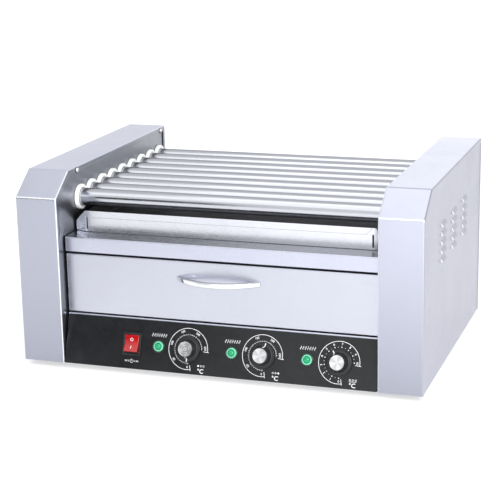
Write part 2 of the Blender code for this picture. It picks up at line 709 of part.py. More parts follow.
def build_drawer_heater():
    """One rod bent into a U under the drawer, its ends in the right casing."""
    near, far = DRAWER_ROD_Y
    radius = (far - near) / 2
    middle = (near + far) / 2
    bend_x = -(X_BAY - DRAWER_ROD_SIDE) + radius
    end_x = X_BACK + 2 * ROD_REACH
    steps = 14
    points = [(end_x, near)]
    for k in range(steps + 1):
        angle = math.pi * k / steps
        points.append((bend_x - radius * math.sin(angle), middle - radius * math.cos(angle)))
    points.append((end_x, far))
    curve = bpy.data.curves.new("drawer_heater", "CURVE")
    curve.dimensions = "3D"
    curve.bevel_depth = ROD_RADIUS
    curve.bevel_resolution = 2
    curve.use_fill_caps = True
    spline = curve.splines.new("POLY")
    spline.points.add(len(points) - 1)
    for point, (x, y) in zip(spline.points, points):
        point.co = (x, y, DRAWER_ROD_Z, 1)
    add_object("drawer_heater", curve, "dark_steel")


def build_housing(rod_holes):
    """Warming cabinet: rail, shelf, rear wall, two sides and the drawer runners."""
    start, end = HOUSING_Y
    section = [(BAY_Y + FLANGE, RAIL_Z), (BAY_Y, RAIL_Z), (BAY_Y, LEDGE_Z),
               (end, LEDGE_Z), (end, STAND_Z), (end - FLANGE, STAND_Z)]
    housing = add_object("drawer_housing", to_mesh(
        "drawer_housing", sheet_strip(section, X_BAY)), "stainless")
    thicken(housing)
    outer = X_BAY - SHEET / 4
    inner = outer - SHEET
    for side, sign in (("left", -1), ("right", 1)):
        plates = {
            "wall": ((outer, start, STAND_Z), (inner, end - SHEET / 2, LEDGE_Z - SHEET / 2)),
            "foot": ((outer - SHEET / 2, start + SHEET, STAND_Z + SHEET / 4),
                     (outer - FLANGE, end - SHEET / 3, STAND_Z + SHEET)),
            "runner": ((outer - SHEET / 2, start + SHEET, RUNNER_Z - SHEET),
                       (outer - FLANGE, end - SHEET / 3, RUNNER_Z)),
        }
        for part, ((xa, ya, za), (xb, yb, zb)) in plates.items():
            low = (min(sign * xa, sign * xb), ya, za)
            high = (max(sign * xa, sign * xb), yb, zb)
            join(housing, tool_object(f"housing_{side}_{part}", box(low, high)))
    cut(housing, rod_holes)


def build_drawer():
    """Bun drawer: folded front and an open box behind it."""
    front = add_object("drawer_box", to_mesh("drawer_box", open_box(
        (-X_BAY, BAY_Y, DRAWER_BOTTOM), (X_BAY, BAY_Y + DRAWER_FRONT_DEPTH, DRAWER_TOP),
        [(0, 1, 0)])), "stainless")
    thicken(front, bend=BEND_RADIUS / 2)
    half = X_BAY - SHEET / 4 - SHEET - DRAWER_SIDE_CLEARANCE
    box_end = HOUSING_Y[1] - SHEET - DRAWER_REAR_SPACE
    pan = tool_object("drawer_pan", open_box(
        (-half, BAY_Y + SHEET / 2, DRAWER_BOTTOM + DRAWER_EDGE),
        (half, box_end, DRAWER_TOP - DRAWER_EDGE), [(0, 0, 1), (0, -1, 0)]))
    thicken(pan)
    join(front, pan)


def arc(span, bow, steps):
    """Points of a flat arc, from left to right, that bows forward of its chord."""
    radius = (span * span / 4 + bow * bow) / (2 * bow)
    reach = math.asin(span / 2 / radius)
    for k in range(steps + 1):
        angle = reach * (2 * k / steps - 1)
        yield radius * math.sin(angle), radius * math.cos(angle) - (radius - bow)


def build_handle():
    """Bowed bar on the drawer front; its two end pads meet the front."""
    steps = 18
    seat = BAY_Y - GAP
    outline = [(x, seat - out) for x, out in arc(HANDLE_SPAN, HANDLE_BOW, steps)]
    inner = arc(HANDLE_SPAN - 2 * HANDLE_PAD, HANDLE_GRIP_BOW, steps)
    outline += [(x, seat - out) for x, out in inner][::-1]
    bm = bmesh.new()
    z = DRAWER_TOP - HANDLE_BELOW_EDGE
    face = bm.faces.new([bm.verts.new((x, y, z - HANDLE_HEIGHT / 2)) for x, y in outline])
    grown = bmesh.ops.extrude_face_region(bm, geom=[face], use_keep_orig=True)
    moved = [v for v in grown["geom"] if isinstance(v, bmesh.types.BMVert)]
    bmesh.ops.translate(bm, verts=moved, vec=(0, 0, HANDLE_HEIGHT))
    bmesh.ops.recalc_face_normals(bm, faces=bm.faces)
    add_object("drawer_handle", to_mesh("drawer_handle", bm, smooth=True), "chrome")


def build_tray():
    """Drip tray on the shelf: walls, floor and a hemmed front with cut corners."""
    floor = LEDGE_Z + GAP
    face_y = FRONT + TRAY_SETBACK
    top = floor + TRAY_HEIGHT
    half = X_BAY - TRAY_WALL_INSET
    tray = add_object("drip_tray", to_mesh("drip_tray", open_box(
        (-half, face_y + SHEET / 2, floor), (half, REAR - TRAY_REAR_SPACE,
                                             floor + TRAY_WALL_HEIGHT),
        [(0, 0, 1), (0, -1, 0)])), "stainless")
    thicken(tray)
    corner = TRAY_CORNER
    outline = [(-X_BAY, floor), (X_BAY, floor), (X_BAY, top - corner),
               (X_BAY - corner, top), (corner - X_BAY, top), (-X_BAY, top - corner)]
    plate = tool_object("tray_front", prism(outline, face_y, face_y + SHEET, axis="Y"))
    slope = corner - X_BAY
    hem = [(slope + TRAY_HEM, top - TRAY_HEM), (-slope - TRAY_HEM, top - TRAY_HEM),
           (-slope, top - SHEET / 4), (slope, top - SHEET / 4)]
    fold = tool_object("tray_hem", prism(
        hem, face_y - SHEET, face_y + SHEET / 2, axis="Y"))
    join(tray, plate, fold)


def on_panel(place, height=0.0):
    """A frame on the control panel: X along it, Y up its slope, Z outwards."""
    x = (2 * place - 1) * X_BAY
    return PANEL_FRAME @ Matrix.Translation((x, CONTROL_LINE, height))


def place_tool(tool, frame):
    tool.matrix_world = frame
    return tool


def build_control_panel():
    """Leaning panel, folded at both edges, cut for every control."""
    section = [(FRONT + FLANGE, BOTTOM), (FRONT, BOTTOM), (BAY_Y, PANEL_TOP),
               (BAY_Y + FLANGE, PANEL_TOP)]
    panel = add_object("control_panel", to_mesh(
        "control_panel", sheet_strip(section, X_BAY)), "black_film")
    thicken(panel)
    reach = 6 * SHEET
    window = SWITCH_BODY[0] / 2 + HOLE_CLEARANCE, SWITCH_BODY[1] / 2 + HOLE_CLEARANCE
    hole = tool_object("switch_window", box(
        (-window[0], -window[1], -reach), (window[0], window[1], reach)))
    cut(panel, place_tool(hole, on_panel(SWITCH_PLACE)))
    for kind, places, radius in (("lamp", LAMP_PLACES, LAMP_BARREL_RADIUS),
                                 ("knob", KNOB_PLACES, THERMOSTAT_BUSH_RADIUS)):
        for zone, place in zip(ZONES, places):
            hole = tool_object(f"{kind}_hole_{zone}", add_rod(
                bmesh.new(), (0, 0, -reach), (0, 0, reach), radius + HOLE_CLEARANCE, 16))
            cut(panel, place_tool(hole, on_panel(place)))


def build_switch():
    """Rocker switch: housing through the panel and a tilting key in its pocket."""
    wide, tall, deep = BEZEL
    frame = on_panel(SWITCH_PLACE)
    housing = add_object("switch_housing", to_mesh("switch_housing", box(
        (-wide / 2, -tall / 2, GAP), (wide / 2, tall / 2, GAP + deep))), "black_plastic")
    housing.matrix_world = frame
    wide, tall, deep = SWITCH_BODY
    body = tool_object("switch_body", box(
        (-wide / 2, -tall / 2, -deep), (wide / 2, tall / 2, GAP + BEZEL[2] / 2)))
    wide, tall, deep = SWITCH_POCKET
    pocket = tool_object("switch_pocket", box(
        (-wide / 2, -tall / 2, -deep), (wide / 2, tall / 2, GAP + 2 * BEZEL[2])))
    join(housing, place_tool(body, frame))
    cut(housing, place_tool(pocket, frame))

    end = ROCKER_RISE + ROCKER_HALF * math.tan(ROCKER_TILT)
    heel = ROCKER_HALF - 0.5 * mm
    section = [(-ROCKER_HALF, end), (0, ROCKER_RISE), (ROCKER_HALF, end),
               (heel, -2 * mm), (0, -6 * mm), (-heel, -2 * mm)]
    rocker = add_object("switch_rocker", to_mesh("switch_rocker", prism(
        section, -ROCKER_WIDTH / 2, ROCKER_WIDTH / 2)), "red_plastic")
    pivot = GAP + BEZEL[2] + GAP - ROCKER_RISE
    rocker.matrix_world = on_panel(SWITCH_PLACE, pivot) @ Matrix.Rotation(
        -ROCKER_TILT, 4, "X")


def build_lamps():
    """Pilot lamps: rim, domed lens and barrel."""
    dome = 3.6 * mm
    rim = 1.6 * mm
    profile = [(0, GAP + rim + dome)]
    for k in range(1, 4):
        angle = math.pi / 2 * k / 3
        profile.append((LAMP_LENS_RADIUS * math.sin(angle),
                        GAP + rim + dome * math.cos(angle)))
    profile += [(LAMP_RIM_RADIUS, GAP + rim), (LAMP_RIM_RADIUS, GAP),
                (LAMP_BARREL_RADIUS, GAP), (LAMP_BARREL_RADIUS, -LAMP_BARREL),
                (0, -LAMP_BARREL)]
    for zone, place in zip(ZONES, LAMP_PLACES):
        lamp = turned("lamp_" + zone, profile, "green_lens")
        lamp.matrix_world = on_panel(place)


def build_thermostats():
    """Thermostats behind the panel; each bush comes through it under its knob."""
    half = THERMOSTAT_SIZE / 2
    back = -SHEET - GAP
    for zone, place in zip(ZONES, KNOB_PLACES):
        frame = on_panel(place)
        body = add_object("thermostat_" + zone, to_mesh("thermostat", box(
            (-half, -half, back - THERMOSTAT_DEPTH), (half, half, back))), "galvanised")
        body.matrix_world = frame
        bush = tool_object("thermostat_bush_" + zone, add_rod(
            bmesh.new(), (0, 0, back - SHEET), (0, 0, THERMOSTAT_BUSH),
            THERMOSTAT_BUSH_RADIUS, 16))
        bore = tool_object("thermostat_bore_" + zone, add_rod(
            bmesh.new(), (0, 0, -KNOB_SHAFT - 2 * mm), (0, 0, THERMOSTAT_BUSH + SHEET),
            KNOB_SHAFT_RADIUS + SHAFT_CLEARANCE, 16))
        join(body, place_tool(bush, frame))
        cut(body, place_tool(bore, frame))


def build_knobs():
    """Knobs with a skirt, a pointer and a shaft into the thermostat."""
    base = KNOB_STANDOFF
    top = base + KNOB_HEIGHT
    skirt = base + KNOB_SKIRT
    pocket = base + KNOB_POCKET
    profile = [(0, top), (KNOB_TOP_RADIUS - mm, top), (KNOB_TOP_RADIUS, top - mm),
               (KNOB_GRIP_RADIUS, skirt), (KNOB_SKIRT_RADIUS - mm, skirt),
               (KNOB_SKIRT_RADIUS, skirt - mm), (KNOB_SKIRT_RADIUS, base),
               (KNOB_POCKET_RADIUS, base), (KNOB_POCKET_RADIUS, pocket),
               (KNOB_SHAFT_RADIUS, pocket), (KNOB_SHAFT_RADIUS, -KNOB_SHAFT),
               (0, -KNOB_SHAFT)]
    width, height = POINTER
    for zone, place, setting in zip(ZONES, KNOB_PLACES, KNOB_SETTINGS):
        knob = turned("knob_" + zone, profile, "black_plastic")
        frame = on_panel(place) @ Matrix.Rotation(math.radians(-setting), 4, "Z")
        knob.matrix_world = frame
        pointer = tool_object("pointer_" + zone, box(
            (-width / 2, mm - KNOB_SKIRT_RADIUS, skirt - height),
            (width / 2, -KNOB_TOP_RADIUS, skirt + height)))
        join(knob, place_tool(pointer, frame))


def build_gland():
    """Bushed outlet for a mains lead, low in the right casing's rear."""
    seat = GAP
    profile = [(GLAND_BORE_RADIUS, GLAND_PROUD), (GLAND_RADIUS - mm, GLAND_PROUD),
               (GLAND_RADIUS, 4 * mm + seat), (GLAND_FLANGE_RADIUS, 3 * mm + seat),
               (GLAND_FLANGE_RADIUS, seat), (GLAND_RADIUS, seat),
               (GLAND_RADIUS, -GLAND_INSIDE), (GLAND_BORE_RADIUS, -GLAND_INSIDE)]
    gland = turned("cord_gland", profile, "black_plastic", closed=True)
    gland.rotation_euler = (-math.pi / 2, 0, 0)
    gland.location = (GLAND_X, REAR, GLAND_Z)


rod_holes = drawer_rod_holes()
build_covers()
build_inner_panels(rod_holes)
build_base()
build_feet()
build_rear_panel()
build_rollers()
build_bushes()
build_chain()
build_motor()
heater_bank("front_heater_bank", ROLLER_Y[:FRONT_ZONE_COUNT])
heater_bank("back_heater_bank", ROLLER_Y[FRONT_ZONE_COUNT:])
build_drawer_heater()
build_housing(rod_holes)
build_drawer()
build_handle()
build_tray()
build_control_panel()
build_switch()
build_lamps()
build_thermostats()
build_knobs()
build_gland()
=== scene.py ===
import math

import bmesh
import bpy
from mathutils import Matrix, Vector


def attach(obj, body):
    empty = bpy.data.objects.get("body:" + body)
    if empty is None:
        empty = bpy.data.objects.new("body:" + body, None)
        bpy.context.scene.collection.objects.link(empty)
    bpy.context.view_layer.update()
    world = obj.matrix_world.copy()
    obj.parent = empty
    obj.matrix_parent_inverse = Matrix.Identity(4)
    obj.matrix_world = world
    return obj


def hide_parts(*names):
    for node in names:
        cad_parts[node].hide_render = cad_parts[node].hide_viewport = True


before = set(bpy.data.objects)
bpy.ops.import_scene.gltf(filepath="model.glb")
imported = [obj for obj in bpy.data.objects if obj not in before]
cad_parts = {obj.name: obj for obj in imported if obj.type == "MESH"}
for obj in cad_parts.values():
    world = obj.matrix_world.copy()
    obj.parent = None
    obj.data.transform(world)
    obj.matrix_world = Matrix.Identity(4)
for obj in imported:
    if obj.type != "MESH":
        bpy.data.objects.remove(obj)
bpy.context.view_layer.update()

mm = 0.001

# Camera. A long lens a little above the deck, seen from the right-hand front,
# leaning by about a degree.
azimuth = math.radians(18.72)
elevation = math.radians(14.85)
lean_over = math.radians(-1.12)
backwards = Vector((math.sin(azimuth) * math.cos(elevation),
                    -math.cos(azimuth) * math.cos(elevation), math.sin(elevation)))
rightwards = Vector((math.cos(azimuth), math.sin(azimuth), 0))
upwards = backwards.cross(rightwards)
camera_x = rightwards * math.cos(lean_over) + upwards * math.sin(lean_over)
camera_y = upwards * math.cos(lean_over) - rightwards * math.sin(lean_over)
camera_frame = Matrix((camera_x, camera_y, backwards)).transposed().to_4x4()
camera = bpy.data.objects.new("camera", bpy.data.cameras.new("camera"))
camera.data.lens = 106.8
camera.data.sensor_width = 36
camera.data.clip_end = 60
camera.matrix_world = Matrix.Translation((0.66642, -2.01328, 0.69820)) @ camera_frame
bpy.context.scene.collection.objects.link(camera)
bpy.context.scene.camera = camera
bpy.context.scene.view_settings.view_transform = "Standard"

# Studio. A pale floor under a white surround with a brighter region high in
# front, soft lights on the right, over and behind, and a black flag in front.


def feed(node, **inputs):
    """Sets a node's inputs: a socket is linked, and anything else is a constant."""
    for key, value in inputs.items():
        socket = node.inputs[key.replace("_", " ")]
        if isinstance(value, bpy.types.NodeSocket):
            node.id_data.links.new(value, socket)
        else:
            socket.default_value = value


def add(tree, kind, **settings):
    """A node with its settings; a key that isn't the node's own is one of its inputs."""
    node = tree.nodes.new(kind)
    for key, value in settings.items():
        if hasattr(node, key):
            setattr(node, key, value)
        else:
            feed(node, **{key: value})
    return node


def math_node(tree, operation, *values):
    """The result of a sum on numbers and sockets."""
    node = add(tree, "ShaderNodeMath", operation=operation)
    for i, value in enumerate(values):
        if isinstance(value, (int, float)):
            node.inputs[i].default_value = value
        else:
            tree.links.new(value, node.inputs[i])
    return node.outputs[0]


world = bpy.data.worlds.new("white_studio")
world.use_nodes = True
bpy.context.scene.world = world
sky = world.node_tree
background = sky.nodes["Background"]
BRIGHT_HEIGHT = math.radians(62)
direction = sky.nodes.new("ShaderNodeTexCoord").outputs["Generated"]
high_front = add(sky, "ShaderNodeVectorMath", operation="DOT_PRODUCT", Vector=direction)
high_front.inputs[1].default_value = (0, -math.cos(BRIGHT_HEIGHT), math.sin(BRIGHT_HEIGHT))
axes = add(sky, "ShaderNodeSeparateXYZ", Vector=direction)
patch = add(sky, "ShaderNodeMapRange", interpolation_type="SMOOTHSTEP", From_Min=0.84,
            From_Max=0.91, To_Min=0.0, To_Max=0.80, Value=high_front.outputs["Value"])
dome = add(sky, "ShaderNodeMapRange", interpolation_type="SMOOTHSTEP", From_Min=0.30,
           From_Max=0.90, To_Min=1.06, To_Max=0.86, Value=axes.outputs["Z"])
feed(background, Strength=math_node(sky, "ADD", patch.outputs[0], dome.outputs[0]))
background.inputs["Color"].default_value = (0.99, 0.995, 1.0, 1)


def softbox(name, place, target, size, energy):
    """A rectangular studio light that looks at a point and isn't seen itself."""
    lamp = bpy.data.lights.new(name, "AREA")
    lamp.shape = "RECTANGLE"
    lamp.size, lamp.size_y = size
    lamp.energy = energy
    obj = bpy.data.objects.new(name, lamp)
    turn = (Vector(place) - Vector(target)).to_track_quat("Z", "Y")
    obj.matrix_world = Matrix.Translation(place) @ turn.to_matrix().to_4x4()
    obj.visible_camera = False
    bpy.context.scene.collection.objects.link(obj)


softbox("right_light", (1.05, -1.45, 0.80), (0.25, -0.95, 0), (0.8, 0.7), 22)
softbox("deck_light", (-0.22, -0.1, 2.0), (-0.22, -0.1, 0), (1.0, 0.8), 1.9)
softbox("rear_light", (-0.08, 1.4, 0.70), (0.26, 0, 0.25), (0.8, 0.7), 0.75)


def studio_plane(name, place, turn, size, colour, glow):
    """A plain sheet of the studio: the floor, or a flag that only shades."""
    mat = bpy.data.materials.new(name)
    mat.use_nodes = True
    paint = mat.node_tree.nodes["Principled BSDF"]
    paint.inputs["Base Color"].default_value = (*colour, 1)
    paint.inputs["Roughness"].default_value = 0.7
    paint.inputs["Specular IOR Level"].default_value = 0.2
    paint.inputs["Emission Color"].default_value = (1, 1, 1, 1)
    paint.inputs["Emission Strength"].default_value = glow
    bm = bmesh.new()
    bmesh.ops.create_grid(bm, x_segments=2, y_segments=2, size=1)
    bmesh.ops.transform(bm, verts=bm.verts, matrix=Matrix.Translation(place) @ turn @
                        Matrix.Diagonal((*size, 1, 1)))
    data = bpy.data.meshes.new(name)
    bm.to_mesh(data)
    bm.free()
    data.materials.append(mat)
    obj = bpy.data.objects.new(name, data)
    bpy.context.scene.collection.objects.link(obj)
    return obj


studio_plane("floor", (0, 0, 0), Matrix(), (6, 6), (0.62, 0.62, 0.63), 0.50)
flag = studio_plane("black_flag", (-0.84, -1.10, 0.36), Matrix.Rotation(math.radians(78), 4, "X"),
                    (0.50, 0.21), (0.01, 0.01, 0.01), 0.0)
flag.visible_camera = False

# Side casings. Each is a folded stainless cover round one end of the machine:
# front, sloped corner, top and rear in one sheet, an outer side set into it,
# and a narrow lip towards the rollers. Three columns of pressed louvres.
WIDTH = 580 * mm
DEPTH = 412 * mm
BOTTOM = 8 * mm
TOP = 278 * mm
FRONT = -DEPTH / 2
REAR = DEPTH / 2
SHEET = 1.2 * mm
GAP = 0.4 * mm
X_OUT = WIDTH / 2
X_LIP = X_OUT - 62 * mm
CHAMFER_Y = FRONT + 44.5 * mm
CHAMFER_Z = TOP - 32 * mm


def effect(name, inputs, outputs):
    """A shader node group with named sockets, and its two ends."""
    tree = bpy.data.node_groups.new(name, "ShaderNodeTree")
    for socket, kind, value in inputs:
        made = tree.interface.new_socket(socket, in_out="INPUT", socket_type=kind)
        made.default_value = value
    for socket, kind in outputs:
        tree.interface.new_socket(socket, in_out="OUTPUT", socket_type=kind)
    return tree, tree.nodes.new("NodeGroupInput"), tree.nodes.new("NodeGroupOutput")


# Grinding lines of brushed sheet: fine streaks, long one way and short across.
grain_group, ins, outs = effect(
    "sheet_grain", [("Stretch", "NodeSocketVector", (20, 900, 20))],
    [("Height", "NodeSocketFloat"), ("Tone", "NodeSocketFloat")])
where = grain_group.nodes.new("ShaderNodeTexCoord").outputs["Object"]
pull = add(grain_group, "ShaderNodeVectorMath", operation="MULTIPLY", Vector=where)
grain_group.links.new(ins.outputs["Stretch"], pull.inputs[1])
fine = add(grain_group, "ShaderNodeTexNoise", Scale=1.0, Detail=3.0, Roughness=0.65,
           Vector=pull.outputs[0]).outputs["Fac"]
feed(outs, Height=math_node(grain_group, "SUBTRACT", fine, 0.5), Tone=fine)

# Handling marks: broad cloudy patches where a cloth has been, and small smears.
smudge_group, ins, outs = effect("handling_marks", [("Size", "NodeSocketFloat", 9.0)],
                                 [("Mask", "NodeSocketFloat")])
where = smudge_group.nodes.new("ShaderNodeTexCoord").outputs["Object"]
broad = add(smudge_group, "ShaderNodeTexNoise", Detail=2.0, Roughness=0.5, Distortion=0.6)
small = add(smudge_group, "ShaderNodeTexNoise", Detail=4.0, Roughness=0.6, Distortion=1.2)
for layer, factor in ((broad, 1.0), (small, 5.5)):
    size = math_node(smudge_group, "MULTIPLY", ins.outputs["Size"], factor)
    feed(layer, Vector=where, Scale=size)
both = math_node(smudge_group, "MULTIPLY", broad.outputs["Fac"], small.outputs["Fac"])
ramp = add(smudge_group, "ShaderNodeMapRange", From_Min=0.12, From_Max=0.42, Value=both)
feed(outs, Mask=ramp.outputs[0])


def new_material(name, **constants):
    """A Principled material with constant values on its own sockets."""
    mat = bpy.data.materials.new(name)
    mat.use_nodes = True
    shader = mat.node_tree.nodes["Principled BSDF"]
    feed(shader, **constants)
    return mat, mat.node_tree, shader


def group_node(tree, group, **values):
    """An effect used in a material, with its values."""
    return add(tree, "ShaderNodeGroup", node_tree=group, **values)


def smudges(tree, size):
    """The mask of handling marks, from 0 to 1."""
    return group_node(tree, smudge_group, Size=size).outputs["Mask"]


def mix_colours(tree, factor, first, second):
    """A colour between two, by a mask."""
    node = tree.nodes.new("ShaderNodeMix")
    node.data_type = "RGBA"
    tree.links.new(factor, node.inputs["Factor"])
    for socket, value in (("A", first), ("B", second)):
        target = [s for s in node.inputs if s.name == socket and s.type == "RGBA"][0]
        if isinstance(value, tuple):
            target.default_value = (*value, 1)
        else:
            tree.links.new(value, target)
    return [s for s in node.outputs if s.type == "RGBA"][0]


def to_range(tree, value, low, high, start=0.0, end=1.0):
    """A value carried from one range to another."""
    return add(tree, "ShaderNodeMapRange", From_Min=start, From_Max=end, To_Min=low,
               To_Max=high, Value=value).outputs[0]


def roughen(tree, shader, fine, mask, low, high, more, start=0.0, end=1.0):
    """Roughness that follows a fine texture and rises where there are marks."""
    feed(shader, Roughness=math_node(tree, "ADD", to_range(tree, fine, low, high, start, end),
                                     to_range(tree, mask, 0.0, more)))


def bump(tree, shader, height, strength, distance):
    """Relief too fine to model."""
    relief = add(tree, "ShaderNodeBump", Strength=strength, Distance=distance, Height=height)
    feed(shader, Normal=relief.outputs["Normal"])


def steel(name, stretch, colour, worn, roughness, marks=8.0, relief=0.12, painted_foot_shade=0.0):
    """Ground stainless sheet: streaked, lightly handled and duller in patches, with painted shade
    darkening it towards the foot when asked for.
    """
    mat, tree, shader = new_material(name, Metallic=1.0)
    grain = group_node(tree, grain_group, Stretch=stretch)
    mask = smudges(tree, marks)
    tone = to_range(tree, grain.outputs["Tone"], 0.25, 0.75, 0.3, 0.7)
    streaked = mix_colours(tree, tone, worn, colour)
    handled = mix_colours(tree, to_range(tree, mask, 0.0, 0.35), streaked, worn)
    if painted_foot_shade:
        # Painted shade: the colour darkens towards the bottom of the piece.
        where = tree.nodes.new("ShaderNodeTexCoord").outputs["Object"]
        axes = add(tree, "ShaderNodeSeparateXYZ", Vector=where)
        foot = to_range(tree, axes.outputs["Z"], painted_foot_shade, 0.0, BOTTOM, TOP)
        handled = mix_colours(tree, foot, handled, (0.30, 0.31, 0.36))
    feed(shader, Base_Color=handled)
    roughen(tree, shader, grain.outputs["Tone"], mask, *roughness, 0.07, 0.3, 0.7)
    bump(tree, shader, grain.outputs["Height"], relief, 0.0002)
    return mat


STEEL = (0.59, 0.605, 0.71)
STEEL_WORN = (0.55, 0.565, 0.66)
# The wrap's lower part carries painted shade.
wrap_steel = steel("brushed_wrap", (1500, 14, 14), STEEL, STEEL_WORN, (0.27, 0.36),
                   painted_foot_shade=0.75)
side_steel = steel("brushed_side", (14, 1500, 14), (0.46, 0.465, 0.53), (0.42, 0.425, 0.485),
                   (0.30, 0.40))
# The lip's darker steel is painted shade; the same steel paints a shadow line along each casing's
# rear edge.
lip_steel = steel("shaded_lip", (10, 500, 10), (0.33, 0.34, 0.375), (0.29, 0.30, 0.33),
                  (0.28, 0.36), marks=14.0, relief=0.04)
# Painted highlight: a near-white steel for the rounded bends, standing for the light they catch
# from above.
bend_highlight_steel = steel("painted_bend_highlight", (30, 30, 30), (0.93, 0.94, 0.97), (0.86, 0.87, 0.91),
                   (0.20, 0.28), relief=0.03)


def shown(name, bm, materials, body, stands_for=(), sheet=0.0, angle=35,
          round_edges=0.0, even=True):
    """A finished piece: its mesh, materials, body and the CAD nodes that it stands for."""
    mesh = bpy.data.meshes.new(name)
    bm.to_mesh(mesh)
    bm.free()
    mesh.shade_smooth()
    mesh.set_sharp_from_angle(angle=math.radians(angle))
    obj = bpy.data.objects.new(name, mesh)
    for mat in materials:
        mesh.materials.append(mat)
    bpy.context.scene.collection.objects.link(obj)
    if sheet:
        solid = obj.modifiers.new("sheet", "SOLIDIFY")
        solid.thickness = sheet
        solid.offset = -1
        solid.use_even_offset = even
    if round_edges:
        soft = obj.modifiers.new("edges", "BEVEL")
        soft.width = round_edges
        soft.segments = 2
        soft.limit_method = "ANGLE"
        soft.angle_limit = math.radians(40)
    flat = obj.modifiers.new("flat_faces", "WEIGHTED_NORMAL")
    flat.keep_sharp = True
    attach(obj, body)
    if stands_for:
        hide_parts(*stands_for)
    return obj


def laid(bm, points, at, axis):
    """The points (y, z) of a section across X, or (x, z) across Y, as vertices."""
    return [bm.verts.new((at, a, b) if axis == 0 else (a, at, b)) for a, b in points]


def push(bm, grown, way, axis=0):
    """Moves what an extrusion made along one axis."""
    vec = Vector()
    vec[axis] = way
    moved = [v for v in grown["geom"] if isinstance(v, bmesh.types.BMVert)]
    bmesh.ops.translate(bm, verts=moved, vec=vec)


def swept(outline, start, end, axis=0):
    """A closed outline carried along X (points y, z) or along Y (points x, z)."""
    bm = bmesh.new()
    face = bm.faces.new(laid(bm, outline, start, axis))
    push(bm, bmesh.ops.extrude_face_region(bm, geom=[face], use_keep_orig=True),
         end - start, axis)
    bmesh.ops.recalc_face_normals(bm, faces=bm.faces)
    return bm


def turn_edges(bm, radius, segments=4, chosen=None, least=30):
    """Bend radii on the sharp inner edges of a folded sheet."""
    edges = chosen
    if edges is None:
        edges = [e for e in bm.edges if len(e.link_faces) == 2
                 and math.degrees(e.calc_face_angle(0)) > least]
    bmesh.ops.bevel(bm, geom=edges, offset=radius, offset_type="OFFSET", affect="EDGES",
                    segments=segments, profile=0.5, material=-1, clamp_overlap=True)


def cut(bm, point, way, faces=None, **options):
    """Splits a mesh, or only some of its faces, along a plane."""
    faces = bm.faces[:] if faces is None else faces
    edges = dict.fromkeys(e for f in faces for e in f.edges)
    verts = dict.fromkeys(v for f in faces for v in f.verts)
    bmesh.ops.bisect_plane(bm, geom=[*verts, *edges, *faces], plane_co=point,
                           plane_no=way, **options)


LIP_WIDTH = 8 * mm
HEM_BAND = 7 * mm           # of the cover round its outer side
HEM_EDGE = 2.2 * mm         # width of the slope down to that side
HEM_STEP = 0.8 * mm         # the outer side lies this far in
BEND = 2.2 * mm
SLOPE = math.atan2(CHAMFER_Y - FRONT, TOP - CHAMFER_Z)   # of the corner, back from upright
LOUVRE_COLUMNS = (123 * mm, 199.5 * mm, 276 * mm)
LOUVRE_ROWS = 5
LOUVRE_PITCH = 12.4 * mm
LOUVRE_TOP = 63 * mm
LOUVRE_LENGTH = 32 * mm
LOUVRE_HEIGHT = 6.4 * mm
LOUVRE_PROUD = 2.9 * mm
LOUVRE_MIDDLE = TOP - LOUVRE_TOP - LOUVRE_PITCH * (LOUVRE_ROWS - 1) / 2
LOUVRES = [(FRONT + column, TOP - LOUVRE_TOP - row * LOUVRE_PITCH)
           for column in LOUVRE_COLUMNS for row in range(LOUVRE_ROWS)]
HOOD_BACK = 0.9 * mm        # how far a louvre's upper edge stands out
HOOD_DROP = 1.6 * mm
HOOD_END = 3.2 * mm
HOOD_BEND = 1.3 * mm
LOUVRE_REACH = 34 * mm      # all the louvres lie this near to their middle row
OUTSIDE, LIP, LOUVRE_HIGHLIGHT, BEND_HIGHLIGHT = 1, 2, 3, 4    # places in the casing's list of materials


